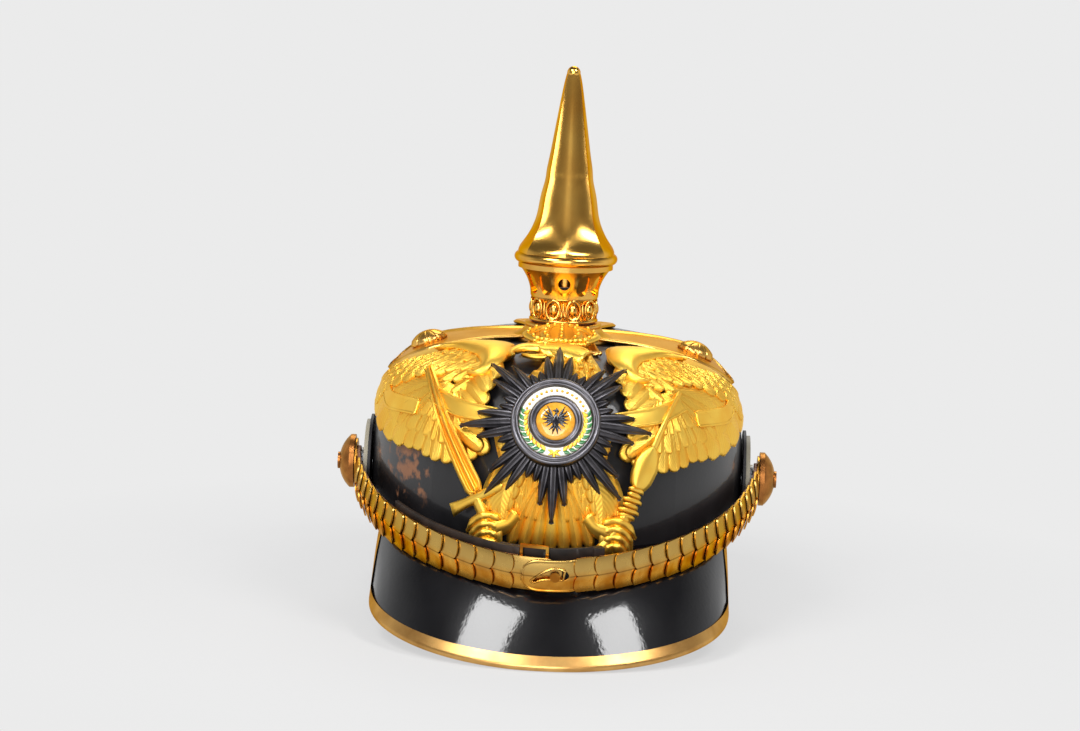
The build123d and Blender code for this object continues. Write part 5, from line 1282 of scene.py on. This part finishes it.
@dataclass
class Lining:
    """The soft inside: a leather sweatband with tongues, and a silk dome gathered at its middle.

    Attributes:
        side_centre: Distance from the skull's middle to the centre of a side's arc, to a hundredth.
        side_radius: Radius of that arc.
        wall_top: Height at which the skull's wall ends.
    """

    side_centre: float = 38.62
    side_radius: float = 127.12
    wall_top: float = 70.64
    foot: float = 40.0
    top: float = 76.0
    foot_inset: float = 3.0
    top_inset: float = 8.6
    tongues: int = 9
    pleats: int = 36
    gathered: float = 0.76
    strip_length: float = 0.62

    def oval(self, turn: float, inset: float) -> Vector:
        """Returns a point of the skull's plan.

        Args:
            turn: The way its outline faces there.
            inset: How far inside the outline it lies.
        """
        x, y = math.cos(turn), math.sin(turn)
        if abs(y) * self.side_centre <= abs(x) * FORM.end_centre:
            reach = self.side_radius - inset
            return Vector((reach * x - math.copysign(self.side_centre, x), reach * y, 0))
        reach = FORM.end_radius - inset
        return Vector((reach * x, reach * y + math.copysign(FORM.end_centre, y), 0))

    def dome(self, share: float, depth: float) -> tuple[float, float]:
        """Returns a point of the skull's profile moved inwards.

        Args:
            share: How far from the wall's top to the crown's middle.
            depth: How far inside the form it lies.

        Returns:
            Its inset and its height.
        """
        inset, height = 0.0, self.wall_top
        left = share * sum(radius * math.radians(last - first) for radius, first, last in FORM.arcs)
        for radius, first, last in FORM.arcs:
            start, end = math.radians(first), math.radians(last)
            turn = min(end, start + left / radius)
            inset += radius * (math.cos(start) - math.cos(turn))
            height += radius * (math.sin(turn) - math.sin(start))
            if turn < end:
                break
            left -= radius * (end - start)
        return inset + depth * math.cos(turn), height - depth * math.sin(turn)

    def sweatband(self) -> None:
        """Bends the band round the skull's foot and cuts its upper edge into tongues."""
        mesh = bmesh.new()
        for vertex in bmesh.ops.create_grid(mesh, x_segments=216, y_segments=8, size=1.0)["verts"]:
            turn, up = (vertex.co.x + 1) * math.pi, (vertex.co.y + 1) / 2
            notch = 4.5 * max(0.0, 1 - abs(math.sin(turn * self.tongues / 2)) * 7) * up ** 3
            wave = 0.175 * math.sin(turn * 14) * up
            spot = self.oval(turn, self.foot_inset + (self.top_inset - self.foot_inset) * up ** 1.1 + wave)
            vertex.co = (spot.x, spot.y, self.foot + (self.top - self.foot) * up - notch)
        new_piece("sweatband_leather", mesh, BROWN_LEATHER, 1.1, ("sweatband",), mend=True)

    def silk(self) -> None:
        """Gathers the silk dome with pleats that deepen towards its middle."""
        mesh = bmesh.new()
        for vertex in bmesh.ops.create_grid(mesh, x_segments=288, y_segments=30, size=1.0)["verts"]:
            turn, up = (vertex.co.x + 1) * math.pi, (vertex.co.y + 1) / 2
            pleat = 0.9 * math.sin(turn * self.pleats) * (0.15 + up)
            inset, height = self.dome(min(1.0, 0.05 + up * 1.25), 9.4 + pleat)
            spot = self.oval(turn, min(inset, 70.0))
            drawn = (up - self.gathered) / (1 - self.gathered)
            if drawn > 0:
                spot, height = spot * max(0.06, 1 - drawn), height - 1.5 * drawn
            vertex.co = (spot.x, spot.y, height)
        silk = new_piece("silk_dome", mesh, TAN_SILK, 0.5, ("silk_lining",), mend=True)

    def build(self) -> None:
        """Builds the lining."""
        self.sweatband()
        self.silk()


@dataclass
class SoftSolids:
    """Leathers that follow their CAD solids exactly, with their edges rounded."""

    frame: dict
    round_off: float = 0.35
    leathers: tuple[tuple[str, str, Finish, str], ...] = (
        ("left_chin_leather", "left_band_leather", BAND_LEATHER, "left_chin_half"),
        ("left_chin_strap", "left_strap", STRAP_LEATHER, "left_chin_half"),
        ("right_chin_leather", "right_band_leather", BAND_LEATHER, "right_chin_half"),
        ("right_chin_strap", "right_strap", STRAP_LEATHER, "right_chin_half"),
        ("front_visor_lining", "green_visor_lining", GREEN_LINING, "root"),
        ("rear_visor_lining", "red_visor_lining", RED_LINING, "root"),
        ("inner_washers", "leather_washers", BROWN_LEATHER, "root"),
        ("neck_gasket", "leather_gasket", BROWN_LEATHER, "root"),
        ("neck_inner_washer", "leather_crown_washer", BROWN_LEATHER, "root"))

    def build(self) -> None:
        """Copies each solid's skin, merges it and rounds its edges."""
        for node, name, finish, body in self.leathers:
            mesh = bmesh.new()
            mesh.from_mesh(self.frame["nodes"][node].data)
            bmesh.ops.remove_doubles(mesh, verts=mesh.verts, dist=1e-6)
            bmesh.ops.dissolve_limit(mesh, angle_limit=math.radians(2), verts=mesh.verts, edges=mesh.edges)
            bmesh.ops.triangulate(mesh, faces=mesh.faces)
            bmesh.ops.scale(mesh, vec=(1 / MM,) * 3, verts=mesh.verts)
            piece = new_piece(name, mesh, finish, 0.0, (node,), body)
            edge = piece.modifiers.new("Round", "BEVEL")
            edge.width, edge.segments = self.round_off * MM, 2
            edge.limit_method, edge.angle_limit = "ANGLE", math.radians(40)


def both(*names: str) -> tuple[str, ...]:
    """Returns names of nodes with each side's word before them."""
    return tuple(f"{side.word}_{name}" for name in names for side in Side)


NODE_FINISHES: dict[Finish, tuple[str, ...]] = {
    LACQUER: ("skull_shell",),
    VISOR_LACQUER: ("front_visor", "rear_visor"),
    GREEN_LINING: ("front_visor_lining",),
    RED_LINING: ("rear_visor_lining",),
    TRIM_BRASS: ("front_visor_trim", "rear_spine", "spine_screw"),
    BURNISHED_GILT: ("cross_base", "cross_studs", "cross_front_screw", "pearl_ring", "neck", "spike", "spike_plug"),
    MATT_GILT: ("eagle_plate", "plate_posts", "star_posts"),
    TARNISHED_SILVER: ("star_rays",),
    BEZEL_SILVER: ("star_outer_bezel", "star_inner_bezel"),
    WHITE_ENAMEL: ("star_enamel",),
    AMBER_ENAMEL: ("star_medallion",),
    SCALE_BRASS: both("chin_scales", "end_plate"),
    HANDLED_BRASS: (*both("eye_plate"), "buckle_frame", "buckle_prong", "chin_hook"),
    COPPERY_BRASS: both("rosette", "rosette_screw"),
    COCKADE_BLACK: both("cockade"),
    COCKADE_WHITE: both("cockade_ring"),
    STEEL: ("inner_nuts", "neck_sleeve", "neck_ring_nut", "spine_nut", *both("bushing", "bushing_nut")),
    BROWN_LEATHER: ("sweatband", "inner_washers", "neck_gasket", "neck_inner_washer"),
    BAND_LEATHER: both("chin_leather"),
    STRAP_LEATHER: both("chin_strap"),
    TAN_SILK: ("silk_lining",),
}


def dress_nodes(frame: dict) -> None:
    """Gives every CAD node its finish.

    Args:
        frame: What the frame's load gave.
    """
    for finish, names in NODE_FINISHES.items():
        for node in (frame["nodes"][name] for name in names):
            for part in [node] if node.type == "MESH" else [p for p in node.children_recursive if p.type == "MESH"]:
                part.data.materials.clear()
                part.data.materials.append(finish.material())


def main() -> None:
    """Builds the studio and the pieces, in order."""
    logging.basicConfig(level=logging.INFO, format="%(name)s: %(message)s")
    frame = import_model()
    bpy.context.scene.view_settings.view_transform = "Standard"
    studio = Studio()
    studio.aim()
    studio.light()
    studio.surround()
    studio.floor()
    dress_nodes(frame)
    for part in (CrossBase(), Eagle(), BreastStar(), OverPlate(), Lining(), SoftSolids(frame)):
        part.build()
    bpy.context.view_layer.update()


if __name__ == "__main__":
    main()
